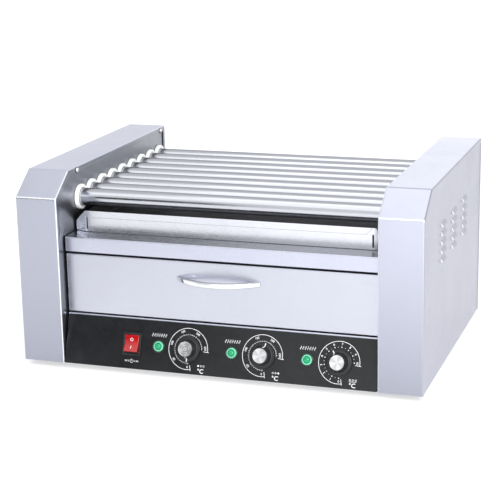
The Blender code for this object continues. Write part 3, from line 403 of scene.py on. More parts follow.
def casing(side):
    """One cover; side is 1 on the right and -1 on the left."""
    below = BOTTOM - 30 * mm
    bm = swept([(FRONT, below), (FRONT, CHAMFER_Z), (CHAMFER_Y, TOP), (REAR, TOP),
                (REAR, below)], X_LIP, X_OUT)
    outer = [f for f in bm.faces if f.normal.x > 0.9]
    bmesh.ops.inset_region(bm, faces=outer, thickness=HEM_BAND, use_even_offset=True)
    bmesh.ops.inset_region(bm, faces=outer, thickness=HEM_EDGE, depth=-HEM_STEP,
                           use_even_offset=True)
    inner = [f for f in bm.faces if f.normal.x < -0.9]
    bmesh.ops.inset_region(bm, faces=inner, thickness=LIP_WIDTH, use_even_offset=True)
    under = [f for f in bm.faces if f.normal.z < -0.9]
    bmesh.ops.delete(bm, geom=inner + under, context="FACES")
    cut(bm, (0, 0, BOTTOM), (0, 0, -1), clear_outer=True)
    folds = [e for e in bm.edges if len(e.link_faces) == 2
             and math.degrees(e.calc_face_angle(0)) > 20
             and all(v.co.x > X_OUT - 0.1 * mm or v.co.x < X_LIP + 0.1 * mm for v in e.verts)]
    turn_edges(bm, BEND, chosen=folds)
    field_x = X_OUT - HEM_STEP

    def field():
        """The faces of the side that is set in."""
        return [f for f in bm.faces if f.normal.x > 0.99
                and abs(f.calc_center_median().x - field_x) < 0.05 * mm]

    half, tall = LOUVRE_LENGTH / 2, LOUVRE_HEIGHT / 2
    cuts = [((0, FRONT + c + s * half, 0), (0, 1, 0)) for c in LOUVRE_COLUMNS for s in (-1, 1)]
    cuts += [((0, 0, TOP - LOUVRE_TOP - r * LOUVRE_PITCH + s * tall), (0, 0, 1))
             for r in range(LOUVRE_ROWS) for s in (-1, 1)]
    for point, way in cuts:
        cut(bm, point, way, field())
    blanks = [(f, f.calc_center_median()) for f in field()]
    blanks = [(f, middle) for f, middle in blanks
              if any(abs(middle.y - y) < 1 * mm and abs(middle.z - z) < 0.5 * mm
                     for y, z in LOUVRES)]
    for blank, middle in blanks:
        hood = bmesh.ops.extrude_discrete_faces(bm, faces=[blank])["faces"][0]
        for v in hood.verts:
            above = v.co.z > middle.z
            v.co.x += HOOD_BACK if above else LOUVRE_PROUD + HEM_STEP
            v.co.z -= HOOD_DROP if above else 0
            v.co.y += HOOD_END if v.co.y < middle.y else -HOOD_END
        mouth = [f for e in hood.edges for f in e.link_faces if f is not hood
                 and all(v.co.z < middle.z for v in f.verts)]
        bmesh.ops.delete(bm, geom=mouth, context="FACES_ONLY")
        ridges = [e for e in hood.edges if len(e.link_faces) == 2]
        ridges += [e for v in hood.verts for e in v.link_edges
                   if e not in hood.edges and len(e.link_faces) == 2]
        turn_edges(bm, HOOD_BEND, 3, list(dict.fromkeys(ridges)))
    if side < 0:
        bmesh.ops.scale(bm, vec=(-1, 1, 1), verts=bm.verts)
        bmesh.ops.reverse_faces(bm, faces=bm.faces)
    for f in bm.faces:
        middle = f.calc_center_median()
        if abs(f.normal.x) > 0.3 and abs(middle.x) > field_x - 0.3 * mm:
            # Painted highlight on the ends of the raised louvre hoods; the rest of the side takes
            # its own steel.
            raised = (abs(middle.x) > field_x + 0.15 * mm
                      and abs(middle.z - LOUVRE_MIDDLE) < LOUVRE_REACH)
            f.material_index = LOUVRE_HIGHLIGHT if raised and abs(f.normal.y) > 0.3 else OUTSIDE
        # Painted highlight: the bends of the front corner and of the lip's front edge take the
        # near-white bend steel.
        in_front_fold = 0.15 * SLOPE < math.atan2(f.normal.z, -f.normal.y) < 0.85 * SLOPE
        in_lip_fold = -0.92 < side * f.normal.x < -0.25 and f.normal.y < -0.3
        if abs(f.normal.x) < 0.3 and in_front_fold or in_lip_fold:
            f.material_index = BEND_HIGHLIGHT
        # Painted shadow: the rear bend of the outer side takes the lip's shaded steel, a dark line
        # along the rear edge.
        at_rear = f.normal.y > 0.3 and middle.y > REAR - BEND
        if side * f.normal.x < -0.92 or (side * f.normal.x > 0.3 and at_rear):
            f.material_index = LIP
    return bm


# Painted highlight: the louvre hoods' ends get a near-white steel, standing for the glints they
# catch.
louvre_highlight_steel = steel("painted_louvre_highlight", (14, 400, 14), (0.86, 0.87, 0.92), (0.80, 0.81, 0.86),
                      (0.22, 0.30))
casing_steels = [wrap_steel, side_steel, lip_steel, louvre_highlight_steel, bend_highlight_steel]
for name, side in (("left", -1), ("right", 1)):
    shown(name + "_casing", casing(side), casing_steels, "root", [name + "_cover"],
          sheet=SHEET, even=False)

# Screws in the casings' lips. Small domed cross-head screws of bright steel
# hold each cover to the inner panel.


def placed(bm, place):
    """A mesh put where it belongs."""
    bmesh.ops.transform(bm, matrix=place, verts=bm.verts)
    return bm


def in_mm(*points):
    """Points given in millimetres, in metres."""
    return [(a * mm, b * mm) for a, b in points]


def lathe(profile, steps, place, closed=False):
    """A profile of (radius, height) turned round Z, then put in place."""
    bm = bmesh.new()
    verts = [bm.verts.new((r, 0, z)) for r, z in profile]
    pairs = list(zip(verts, verts[1:]))
    if closed:
        pairs.append((verts[-1], verts[0]))
    edges = [bm.edges.new(pair) for pair in pairs]
    bmesh.ops.spin(bm, geom=verts + edges, cent=(0, 0, 0), axis=(0, 0, 1), dvec=(0, 0, 0),
                   angle=2 * math.pi, steps=steps, use_merge=True, use_duplicate=False)
    bmesh.ops.remove_doubles(bm, verts=bm.verts, dist=1e-6)
    bmesh.ops.recalc_face_normals(bm, faces=bm.faces)
    return placed(bm, place)


def facing(point, way, roll=0.0):
    """A frame at a point whose Z looks along a direction."""
    turn = Vector(way).to_track_quat("Z", "Y").to_matrix().to_4x4()
    return Matrix.Translation(point) @ turn @ Matrix.Rotation(roll, 4, "Z")


def gather(parts):
    """Several bmeshes as one."""
    whole = bmesh.new()
    for part in parts:
        data = bpy.data.meshes.new("part")
        part.to_mesh(data)
        part.free()
        whole.from_mesh(data)
        bpy.data.meshes.remove(data)
    return whole


def block(size, centre, turn=Matrix()):
    """A box about a centre, turned there."""
    bm = bmesh.new()
    bmesh.ops.create_cube(bm, size=1, matrix=Matrix.Translation(centre) @ turn @
                          Matrix.Diagonal((*size, 1)))
    return bm


def mark_faces(bm, index, picked=lambda f: True):
    """Gives the faces that a test picks another of the piece's materials."""
    for f in bm.faces:
        if picked(f):
            f.material_index = index


def screw_head(radius, place, rise=0.55):
    """A domed head with a cross recess, seated on a sheet."""
    tall = radius * rise
    dome = [(0, tall)]
    for k in range(1, 7):
        turn = math.radians(15 * k)
        dome.append((radius * math.sin(turn), tall * math.cos(turn)))
    dome += [(radius * 0.96, -0.3 * mm), (0, -0.3 * mm)]
    long, narrow = 1.15 * radius, 0.26 * radius
    arms = [block((*size, 0.9 * tall), (0, 0, tall)) for size in ((long, narrow), (narrow, long))]
    objects = []
    for bm in (lathe(dome, 24, Matrix()), *arms):
        mesh = bpy.data.meshes.new("screw_part")
        bm.to_mesh(mesh)
        bm.free()
        objects.append(bpy.data.objects.new("screw_part", mesh))
        bpy.context.scene.collection.objects.link(objects[-1])
    for arm in objects[1:]:
        recess = objects[0].modifiers.new("recess", "BOOLEAN")
        recess.operation = "DIFFERENCE"
        recess.solver = "EXACT"
        recess.object = arm
    bpy.context.view_layer.update()
    made = bmesh.new()
    made.from_object(objects[0], bpy.context.evaluated_depsgraph_get())
    for obj in objects:
        mesh = obj.data
        bpy.data.objects.remove(obj)
        bpy.data.meshes.remove(mesh)
    return placed(made, place)


def wear(tree, shader, mask, clean, worn, roughness=None, spread=1.0):
    """A colour, and a roughness if one is given, that go with a mask; returns the colour."""
    tint = mix_colours(tree, to_range(tree, mask, 0.0, spread), clean, worn)
    feed(shader, Base_Color=tint)
    if roughness:
        feed(shader, Roughness=to_range(tree, mask, *roughness))
    return tint


def handled(name, size, clean, worn, roughness, relief=None, spread=1.0, **constants):
    """A material in which only the handling marks change the surface."""
    mat, tree, shader = new_material(name, **constants)
    mask = smudges(tree, size)
    wear(tree, shader, mask, clean, worn, roughness, spread)
    if relief:
        bump(tree, shader, mask, *relief)
    return mat


screw_steel = steel("screw_steel", (900, 900, 900), (0.90, 0.905, 0.92), (0.78, 0.78, 0.80),
                    (0.22, 0.32))
# Painted shadow: a thin black ring under each screw head stands for the shade round it.
painted_shadow_washer = handled("painted_shadow_washer", 120.0, (0.018, 0.018, 0.020), (0.05, 0.048, 0.045),
                       (0.6, 0.8), Specular_IOR_Level=0.25)
LIP_SCREWS = ((-0.134, 0.4), (0.185, 1.1))      # each one's place along Y and its turn
for name, side in (("left", -1), ("right", 1)):
    parts = []
    for y, roll in LIP_SCREWS:
        seat = facing((side * X_LIP, y, TOP - 5.2 * mm), (-side, 0, 0), roll)
        shadow_ring = lathe(in_mm((0, 0.4), (4.3, 0.4), (4.5, 0.2), (4.5, 0), (0, 0)), 28, seat)
        mark_faces(shadow_ring, 1)
        parts += [shadow_ring, screw_head(3.4 * mm, seat @ Matrix.Translation((0, 0, 0.6 * mm)), 0.8)]
    shown(name + "_lip_screws", gather(parts), [screw_steel, painted_shadow_washer], "root")

# Inner panels. Polished stainless plates inside the casings' lips that carry
# the bushes; a flange at the foot is fixed to the base.


def dress(node, mat):
    """A CAD node's own material."""
    node.data.materials.clear()
    node.data.materials.append(mat)


# Painted shade: the polished plates get a dark steel, like the lip's, for the shade they stand in
# between the casings.
panel_shade_steel = steel("shaded_panel_plate", (10, 500, 10), (0.32, 0.33, 0.365), (0.28, 0.29, 0.32),
                     (0.28, 0.36), marks=14.0, relief=0.03)
for name in ("left_inner_panel", "right_inner_panel"):
    dress(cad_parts[name], panel_shade_steel)

# Base pan. One galvanised sheet under the whole machine, folded up inside the
# casings, with the grey spangle of hot-dipped zinc.


def textured(tree, kind, **settings):
    """A texture that stays with the piece."""
    where = tree.nodes.new("ShaderNodeTexCoord").outputs["Object"]
    return add(tree, kind, **settings, Vector=where)


galvanised, tree, shader = new_material("galvanised_sheet", Metallic=1.0)
spangle = textured(tree, "ShaderNodeTexVoronoi", Scale=130.0)
patch = add(tree, "ShaderNodeSeparateColor", Color=spangle.outputs["Color"])
wear(tree, shader, patch.outputs[0], (0.44, 0.45, 0.47), (0.60, 0.61, 0.62))
roughen(tree, shader, patch.outputs[1], smudges(tree, 6.0), 0.34, 0.50, 0.12)
bump(tree, shader, patch.outputs[0], 0.05, 0.0001)
dress(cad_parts["base_pan"], galvanised)

# Feet. Four short rubber pads with a recess for their screw.
rubber, tree, shader = new_material("foot_rubber", Specular_IOR_Level=0.3)
skin = textured(tree, "ShaderNodeTexNoise", Scale=900.0, Detail=3.0).outputs["Fac"]
wear(tree, shader, smudges(tree, 60.0), (0.020, 0.020, 0.021), (0.060, 0.058, 0.055))
feed(shader, Roughness=to_range(tree, skin, 0.62, 0.85))
bump(tree, shader, skin, 0.25, 0.0002)
FOOT_X, FOOT_Y = X_OUT - 48 * mm, DEPTH / 2 - 48 * mm
for end, y in (("front", -FOOT_Y), ("rear", FOOT_Y)):
    for side, x in (("left", -FOOT_X), ("right", FOOT_X)):
        pad = lathe(in_mm((0, 8.2), (11.4, 8.2), (12, 7.6), (11.8, 5), (10.4, 0.7), (9.4, 0),
                          (5, 0), (4.4, 0.5), (4.2, 3), (0, 3)), 40,
                    Matrix.Translation((x, y, 0)))
        shown(f"rubber_{end}_{side}", pad, [rubber], "root", [f"foot_{end}_{side}"])
heads = [screw_head(3.2 * mm, facing((x, y, 3.0 * mm), (0, 0, -1)))
         for x in (-FOOT_X, FOOT_X) for y in (-FOOT_Y, FOOT_Y)]
shown("foot_screws", gather(heads), [screw_steel], "root")

# Rollers. Nine ground steel tubes turn on the deck; a sprocket is welded to
# the right end of each, inside the casing.
ROLLER_RADIUS = 12.5 * mm
ROLLER_PITCH = 37.6 * mm
ROLLER_COUNT = 9
ROLLER_Z = TOP - 45.25 * mm
ROLLER_Y = [FRONT + 80.5 * mm + i * ROLLER_PITCH for i in range(ROLLER_COUNT)]
X_PANEL = X_LIP + SHEET + GAP
X_BACK = X_PANEL + SHEET
X_SPROCKET = X_BACK + 13 * mm
X_TUBE_LEFT = -(X_BACK + 9 * mm)
X_TUBE_RIGHT = X_SPROCKET + 6.2 * mm
SPROCKET_TIP = 18.4 * mm
SPROCKET_ROOT = 13.7 * mm

roller_steel = steel("roller_tube", (1700, 60, 60), (0.60, 0.61, 0.65), (0.53, 0.54, 0.58),
                     (0.13, 0.20), marks=11.0, relief=0.04)
feed(roller_steel.node_tree.nodes["Principled BSDF"], Specular_Tint=(0.30, 0.30, 0.33, 1))
dark_steel = handled("oiled_steel", 70.0, (0.20, 0.20, 0.21), (0.33, 0.31, 0.29), (0.30, 0.55),
                     (0.08, 0.0003), Metallic=1.0)


def sprocket(teeth, tip, root, thickness, place):
    """A plate sprocket: a disc whose rim steps between root and tip."""
    bm = bmesh.new()
    bmesh.ops.create_circle(bm, cap_ends=True, segments=teeth * 6, radius=root)
    for v in bm.verts:
        share = (math.atan2(v.co.y, v.co.x) * teeth / (2 * math.pi)) % 1.0
        if min(share, 1 - share) < 0.10:
            v.co *= tip / root
        elif min(share, 1 - share) < 0.20:
            v.co *= (tip * 0.75 + root * 0.25) / root
    push(bm, bmesh.ops.extrude_face_region(bm, geom=bm.faces[:], use_keep_orig=True),
         thickness, 2)
    bmesh.ops.recalc_face_normals(bm, faces=bm.faces)
    return placed(bm, place @ Matrix.Translation((0, 0, -thickness / 2)))


ALONG_X = Matrix.Rotation(math.pi / 2, 4, "Y")
edge, bore = 0.5 * mm, ROLLER_RADIUS - 1.5 * mm
tube_profile = [(bore, X_TUBE_LEFT), (ROLLER_RADIUS - edge, X_TUBE_LEFT),
                (ROLLER_RADIUS, X_TUBE_LEFT + edge), (ROLLER_RADIUS, X_TUBE_RIGHT - edge),
                (ROLLER_RADIUS - edge, X_TUBE_RIGHT), (bore, X_TUBE_RIGHT)]
for i, y in enumerate(ROLLER_Y, 1):
    tube = lathe(tube_profile, 56, Matrix.Translation((0, y, ROLLER_Z)) @ ALONG_X, closed=True)
    plate = sprocket(11, SPROCKET_TIP, SPROCKET_ROOT, 5 * mm,
                     Matrix.Translation((X_SPROCKET, y, ROLLER_Z)) @ ALONG_X)
    mark_faces(plate, 1)
    shown(f"roller_tube_{i}", gather([tube, plate]), [roller_steel, dark_steel],
          f"roller_{i}", [f"roller_{i}"])

# Bushes. Flanged rings of white PTFE pressed into the inner panels; the tubes
# turn in them. Their rims stand out round each tube end.
ptfe, tree, shader = new_material("white_ptfe", Roughness=0.42)
wear(tree, shader, smudges(tree, 45.0), (0.97, 0.97, 0.965), (0.88, 0.875, 0.86), spread=0.55)
turning = textured(tree, "ShaderNodeTexNoise", Scale=1200.0, Detail=2.0)
bump(tree, shader, turning.outputs["Fac"], 0.06, 0.0001)
BUSH_RIM = ROLLER_RADIUS + 5.5 * mm
BUSH_BORE = ROLLER_RADIUS + 0.6 * mm
BUSH_HUB = BUSH_BORE + 2.6 * mm
bush_profile = [(BUSH_BORE + 0.4 * mm, 5 * mm), (BUSH_RIM - 1.2 * mm, 5 * mm),
                (BUSH_RIM - 0.35 * mm, 4.65 * mm), (BUSH_RIM, 3.8 * mm),
                (BUSH_RIM, 0.3 * mm), (BUSH_RIM - 0.3 * mm, 0), (BUSH_HUB, 0),
                (BUSH_HUB, -6 * mm), (BUSH_BORE, -6 * mm), (BUSH_BORE, 4.6 * mm)]
for side, sign in (("left", -1), ("right", 1)):
    for i, y in enumerate(ROLLER_Y, 1):
        place = facing((sign * (X_PANEL - GAP), y, ROLLER_Z), (-sign, 0, 0))
        shown(f"bush_ring_{side}_{i}", lathe(bush_profile, 48, place, closed=True), [ptfe],
              "root", [f"{side}_bush_{i}"])

# Chain drive and heating rods. A roller chain runs round all the sprockets
# from a gear motor; sheathed rods stand inside the tubes and under the drawer.
for name in ("drive_chain", "motor_sprocket"):
    dress(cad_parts[name], dark_steel)
heated = handled("heated_sheath", 35.0, (0.16, 0.145, 0.13), (0.30, 0.25, 0.21), (0.42, 0.68),
                 (0.15, 0.0002), Metallic=1.0)
for name in ("front_heater_bank", "back_heater_bank", "drawer_heater"):
    dress(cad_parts[name], heated)
motor_paint, tree, shader = new_material("grey_hammer_paint", Metallic=0.2)
hammer = textured(tree, "ShaderNodeTexVoronoi", Scale=380.0, feature="SMOOTH_F1")
wear(tree, shader, hammer.outputs["Distance"], (0.22, 0.23, 0.25), (0.36, 0.37, 0.39),
     (0.30, 0.55))
bump(tree, shader, hammer.outputs["Distance"], 0.3, 0.0004)
dress(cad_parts["drive_motor"], motor_paint)

# Warming cabinet. One folded sheet makes the rail over the drawer, the shelf
# for the drip tray and the rear wall; two side walls carry the runners.
X_BAY = X_LIP - 1 * mm
BAY_Y = FRONT + 22 * mm
LEDGE_Z = ROLLER_Z - ROLLER_RADIUS - 2.35 * mm - 30 * mm - GAP
RAIL_Z = LEDGE_Z - 21.5 * mm
HOUSING_REAR = REAR - 20 * mm
STAND_Z = BOTTOM + 2 * GAP + SHEET
FLANGE = 12 * mm
DRAWER_TOP = RAIL_Z - 2.5 * mm
DRAWER_BOTTOM = BOTTOM + 71 * mm
RUNNER_Z = DRAWER_BOTTOM + 5.5 * mm
RUNNER_DEPTH = 9 * mm


def strip(points, start, end, bend, axis=0):
    """A folded sheet, its section carried as swept does, with no thickness yet."""
    bm = bmesh.new()
    verts = laid(bm, points, start, axis)
    edges = [bm.edges.new(pair) for pair in zip(verts, verts[1:])]
    push(bm, bmesh.ops.extrude_edge_only(bm, edges=edges), end - start, axis)
    turn_edges(bm, bend, 3)
    return bm


across_steel = steel("brushed_across", (14, 1500, 1500), STEEL, STEEL_WORN, (0.22, 0.32))
front_sheet = strip([(BAY_Y + FLANGE, RAIL_Z), (BAY_Y, RAIL_Z), (BAY_Y, LEDGE_Z),
                     (HOUSING_REAR, LEDGE_Z), (HOUSING_REAR, STAND_Z),
                     (HOUSING_REAR - FLANGE, STAND_Z)], -X_BAY, X_BAY, 1.6 * mm)
# Painted shade: the upward faces of the cabinet sheet, the shelf under the tray, take a darker
# steel.
shelf_shade_steel = steel("shaded_shelf", (14, 1500, 1500), (0.45, 0.46, 0.505), (0.38, 0.385, 0.42),
                    (0.20, 0.30), marks=14.0)
mark_faces(front_sheet, 1, lambda f: f.normal.z > 0.95)
shown("cabinet_wrap", front_sheet, [across_steel, shelf_shade_steel], "root", ["drawer_housing"],
      sheet=SHEET)
wall_start = BAY_Y + 12.8 * mm
walls = []
for sign in (-1, 1):
    wall_x, foot_x = sign * (X_BAY - 0.3 * mm), sign * (X_BAY - 0.3 * mm - FLANGE)
    runner_x = wall_x - sign * SHEET
    wall = [(wall_x, LEDGE_Z - 0.8 * mm), (wall_x, STAND_Z + SHEET), (foot_x, STAND_Z + SHEET)]
    runner = [(runner_x, RUNNER_Z - RUNNER_DEPTH), (runner_x, RUNNER_Z), (foot_x, RUNNER_Z)]
    for section in (wall[::-sign], runner[::sign]):
        walls.append(strip(section, wall_start, HOUSING_REAR - 1.4 * mm, 1.5 * mm, axis=1))
shown("cabinet_walls", gather(walls), [side_steel], "root", sheet=1.0 * mm)

# Drip tray. A shallow stainless tray that slides out under the rollers; its
# front has cut corners, a folded hem and two relief slots by the ends.
TRAY_Y = FRONT + 56 * mm
TRAY_FLOOR = LEDGE_Z + GAP
TRAY_TOP = TRAY_FLOOR + 30 * mm
TRAY_CORNER = 15.5 * mm
TRAY_HALF = X_BAY - 3.5 * mm
SLOT_FROM_END = 18.5 * mm
SLOT_X, SLOT_HALF = X_BAY - SLOT_FROM_END, 1.0 * mm
END_TURN = 5.0 * mm         # the end tabs, outside the slots, are turned back this far
HEM = 9.4 * mm
SLOT_LOW, SLOT_HIGH = TRAY_FLOOR + 3 * mm, TRAY_TOP - HEM + 0.1 * mm
tray_steel = steel("brushed_tray", (14, 1500, 1500), (0.73, 0.74, 0.79), (0.68, 0.69, 0.74),
                   (0.18, 0.27))
# Painted shade: the basin under the rollers is a dark steel for the shade it lies in; the handling
# marks on it are real.
basin_shade_steel = steel("shaded_basin", (40, 500, 500), (0.24, 0.24, 0.26), (0.15, 0.145, 0.15),
                      (0.24, 0.40), marks=22.0)
plate = swept([(-X_BAY, TRAY_FLOOR), (X_BAY, TRAY_FLOOR), (X_BAY, TRAY_TOP - TRAY_CORNER),
               (X_BAY - TRAY_CORNER, TRAY_TOP), (TRAY_CORNER - X_BAY, TRAY_TOP),
               (-X_BAY, TRAY_TOP - TRAY_CORNER)], TRAY_Y, TRAY_Y + SHEET, axis=1)
for sign in (-1, 1):
    for offset in (-SLOT_HALF, SLOT_HALF):
        cut(plate, (sign * SLOT_X + offset, 0, 0), (1, 0, 0))
for z in (SLOT_LOW, SLOT_HIGH):
    cut(plate, (0, 0, z), (0, 0, 1))
slots = [f for f in plate.faces if abs(f.normal.y) > 0.9
         and abs(abs(f.calc_center_median().x) - SLOT_X) < 0.1 * mm
         and SLOT_LOW < f.calc_center_median().z < SLOT_HIGH]
rims = dict.fromkeys(e for f in slots for e in f.edges)
bmesh.ops.delete(plate, geom=slots, context="FACES_ONLY")
loose = [e for e in rims if e.is_valid and len(e.link_faces) == 1]
bmesh.ops.bridge_loops(plate, edges=[e for e in loose if e.verts[0].co.x < 0])
bmesh.ops.bridge_loops(plate, edges=[e for e in loose if e.is_valid and e.verts[0].co.x > 0])
for v in plate.verts:
    v.co.y += END_TURN * max(0.0, abs(v.co.x) - SLOT_X) / SLOT_FROM_END
shown("tray_front", plate, [tray_steel], "drip_tray", ["drip_tray"],
      round_edges=0.35 * mm)
half = SLOT_X - 0.4 * mm
hem = swept([(-half + HEM, TRAY_TOP - HEM), (half - HEM, TRAY_TOP - HEM),
             (half, TRAY_TOP - 0.2 * mm), (-half, TRAY_TOP - 0.2 * mm)],
            TRAY_Y - 1.3 * mm, TRAY_Y + 0.1 * mm, axis=1)
shown("tray_hem", hem, [tray_steel], "drip_tray", round_edges=0.6 * mm)
BASIN_START, BASIN_END = TRAY_Y + 5.5 * mm, HOUSING_REAR - 4 * mm


def open_up(bm, gone):
    """Takes away the faces that a test picks."""
    bmesh.ops.delete(bm, geom=[f for f in bm.faces if gone(f)], context="FACES")


basin = block((2 * TRAY_HALF, BASIN_END - BASIN_START, 22 * mm),
              (0, (BASIN_START + BASIN_END) / 2, TRAY_FLOOR + 11 * mm))
open_up(basin, lambda f: f.normal.z > 0.9 or f.normal.y < -0.9)
turn_edges(basin, 2.5 * mm)
shown("tray_basin", basin, [basin_shade_steel], "drip_tray", sheet=1.0 * mm)

# Bun drawer. A folded stainless front with soft edges, and an open box behind
# it that slides on the cabinet's runners.
FRONT_DEPTH = 12 * mm
front = block((2 * X_BAY, FRONT_DEPTH, DRAWER_TOP - DRAWER_BOTTOM),
              (0, BAY_Y + FRONT_DEPTH / 2, (DRAWER_TOP + DRAWER_BOTTOM) / 2))
open_up(front, lambda f: f.normal.y > 0.9)
turn_edges(front, 1.5 * mm)
# Painted highlight: the front's end and lower bends take the near-white bend steel.
mark_faces(front, 1, lambda f: -0.95 < f.normal.x < -0.15 or -0.95 < f.normal.z < -0.3)
drawer_steel = steel("brushed_drawer", (14, 1500, 1500), (0.58, 0.595, 0.665),
                     (0.54, 0.55, 0.62), (0.24, 0.33))
shown("drawer_face", front, [drawer_steel, bend_highlight_steel], "drawer", ["drawer_box"],
      sheet=SHEET)
BOX_HALF = X_BAY - 3.5 * mm
BOX_LOW, BOX_HIGH = DRAWER_BOTTOM + 6 * mm, DRAWER_TOP - 6 * mm
BOX_START, BOX_END = BAY_Y + SHEET, HOUSING_REAR - 7.2 * mm
box = block((2 * BOX_HALF, BOX_END - BOX_START, BOX_HIGH - BOX_LOW),
            (0, (BOX_START + BOX_END) / 2, (BOX_LOW + BOX_HIGH) / 2))
open_up(box, lambda f: f.normal.z > 0.9 or f.normal.y < -0.9)
turn_edges(box, 2.5 * mm)
shown("drawer_pan", box, [side_steel], "drawer", sheet=1.0 * mm)

# Drawer handle. A chromed crescent that bows out from the drawer; each end
# narrows to a point against the front.
chrome = handled("polished_chrome", 40.0, (0.80, 0.81, 0.84), (0.70, 0.71, 0.75), (0.04, 0.13),
                 (0.02, 0.0003), spread=0.5, Metallic=1.0)
HANDLE_SPAN, HANDLE_BOW = 122 * mm, 26 * mm
GRIP_SPAN, GRIP_BOW = 100 * mm, 19 * mm
HANDLE_Z = DRAWER_TOP - 24.8 * mm
HANDLE_HALF = 3.5 * mm      # of its height
HANDLE_STEPS = 40


def bow(span, rise, steps):
    """Points of a flat arc over its chord, from left to right."""
    radius = (span * span / 4 + rise * rise) / (2 * rise)
    reach = math.asin(span / 2 / radius)
    turns = [reach * (2 * k / steps - 1) for k in range(steps + 1)]
    return [(radius * math.sin(t), radius * math.cos(t) - (radius - rise)) for t in turns]


seat = BAY_Y - GAP
bm = bmesh.new()
runs = [[bm.verts.new((x, seat - y, HANDLE_Z)) for x, y in bow(span, rise, HANDLE_STEPS)]
        for span, rise in ((HANDLE_SPAN, HANDLE_BOW), (GRIP_SPAN, GRIP_BOW))]
edges = [bm.edges.new(pair) for run in runs for pair in zip(run, run[1:])]
bmesh.ops.bridge_loops(bm, edges=edges)
solid = bmesh.ops.extrude_face_region(bm, geom=bm.faces[:], use_keep_orig=True)
raised = {v for v in solid["geom"] if isinstance(v, bmesh.types.BMVert)}
for v in bm.verts:
    v.co.z += HANDLE_HALF if v in raised else -HANDLE_HALF
bmesh.ops.recalc_face_normals(bm, faces=bm.faces)
turn_edges(bm, 1.6 * mm, 4, least=50)
shown("handle_bar", bm, [chrome], "drawer", ["drawer_handle"], angle=50)

# Control panel. A steel sheet faced with black film, leaning back to the
# drawer; its upper and lower edges are folded under.
PANEL_HEIGHT = 69 * mm
PANEL_LEAN = math.atan2(BAY_Y - FRONT, PANEL_HEIGHT)
PANEL_FRAME = Matrix.Translation((0, FRONT, BOTTOM)) @ Matrix.Rotation(
    math.pi / 2 - PANEL_LEAN, 4, "X")
CONTROL_LINE = 35 * mm
SWITCH_X = -126.45 * mm
LAMP_X = {"front": -86.4 * mm, "back": 21.15 * mm, "drawer": 128.7 * mm}
KNOB_X = {"front": -42.75 * mm, "back": 65.25 * mm, "drawer": 173.25 * mm}

black_film, tree, shader = new_material("black_film", Specular_IOR_Level=0.45)
peel = textured(tree, "ShaderNodeTexNoise", Scale=650.0, Detail=2.0).outputs["Fac"]
mask = smudges(tree, 12.0)
wear(tree, shader, mask, (0.006, 0.0065, 0.008), (0.010, 0.011, 0.013))
roughen(tree, shader, peel, mask, 0.24, 0.31, 0.08)
bump(tree, shader, peel, 0.10, 0.0002)
panel_sheet = strip([(FRONT + FLANGE, BOTTOM), (FRONT, BOTTOM), (BAY_Y, BOTTOM + PANEL_HEIGHT),
                     (BAY_Y + FLANGE, BOTTOM + PANEL_HEIGHT)], -X_BAY, X_BAY, 1.2 * mm)
FILM_TOP = BOTTOM + PANEL_HEIGHT - 1.9 * mm
cut(panel_sheet, (0, 0, FILM_TOP), (0, 0, 1))
mark_faces(panel_sheet, 1, lambda f: f.calc_center_median().z > FILM_TOP)
shown("panel_sheet", panel_sheet, [black_film, across_steel], "root", ["control_panel"],
      sheet=SHEET)

# Printing on the panel. White screen print: a scale round each knob, its
# numbers and dots, heat signs over the lamps and a mark for each heat zone.
white_ink, tree, shader = new_material("white_ink", Specular_IOR_Level=0.3)
worn = textured(tree, "ShaderNodeTexNoise", Scale=420.0, Detail=4.0, Roughness=0.7).outputs["Fac"]
feed(shader, Roughness=to_range(tree, worn, 0.45, 0.65),
     Base_Color=mix_colours(tree, to_range(tree, worn, 0.0, 1.0, 0.35, 0.75),
                            (0.86, 0.87, 0.88), (0.62, 0.63, 0.65)))
INK = 0.12 * mm


def ink_bar(size, place, turn=0.0):
    """A printed rectangle on the panel; place is along the panel and up its slope."""
    return block((*size, INK), (*place, INK / 2), Matrix.Rotation(turn, 4, "Z"))


def ink_arc(radius, width, start, sweep, centre, steps=None):
    """A printed arc; angles in degrees clockwise from straight down."""
    bm = bmesh.new()
    steps = steps or max(8, int(abs(sweep) / 4))
    corners = [(radius - width / 2, 0), (radius + width / 2, 0),
               (radius + width / 2, INK), (radius - width / 2, INK)]
    verts = [bm.verts.new((0, -r, z)) for r, z in corners]
    edges = [bm.edges.new((verts[i], verts[(i + 1) % 4])) for i in range(4)]
    full = abs(sweep) > 359
    if not full:
        bm.faces.new(verts)
    bmesh.ops.rotate(bm, cent=(0, 0, 0), verts=verts,
                     matrix=Matrix.Rotation(-math.radians(start), 3, "Z"))
    spun = bmesh.ops.spin(bm, geom=verts + edges, cent=(0, 0, 0), axis=(0, 0, 1),
                          dvec=(0, 0, 0), angle=-math.radians(sweep), steps=steps,
                          use_merge=full, use_duplicate=False)
    if not full:
        last = [e for e in spun["geom_last"] if isinstance(e, bmesh.types.BMEdge)]
        bmesh.ops.edgeloop_fill(bm, edges=last)
    bmesh.ops.recalc_face_normals(bm, faces=bm.faces)
    return placed(bm, Matrix.Translation((*centre, 0)))


def ink_dot(radius, centre):
    """A printed dot."""
    bm = bmesh.new()
    bmesh.ops.create_cone(bm, cap_ends=True, segments=14, radius1=radius, radius2=radius,
                          depth=INK, matrix=Matrix.Translation((*centre, INK / 2)))
    return bm


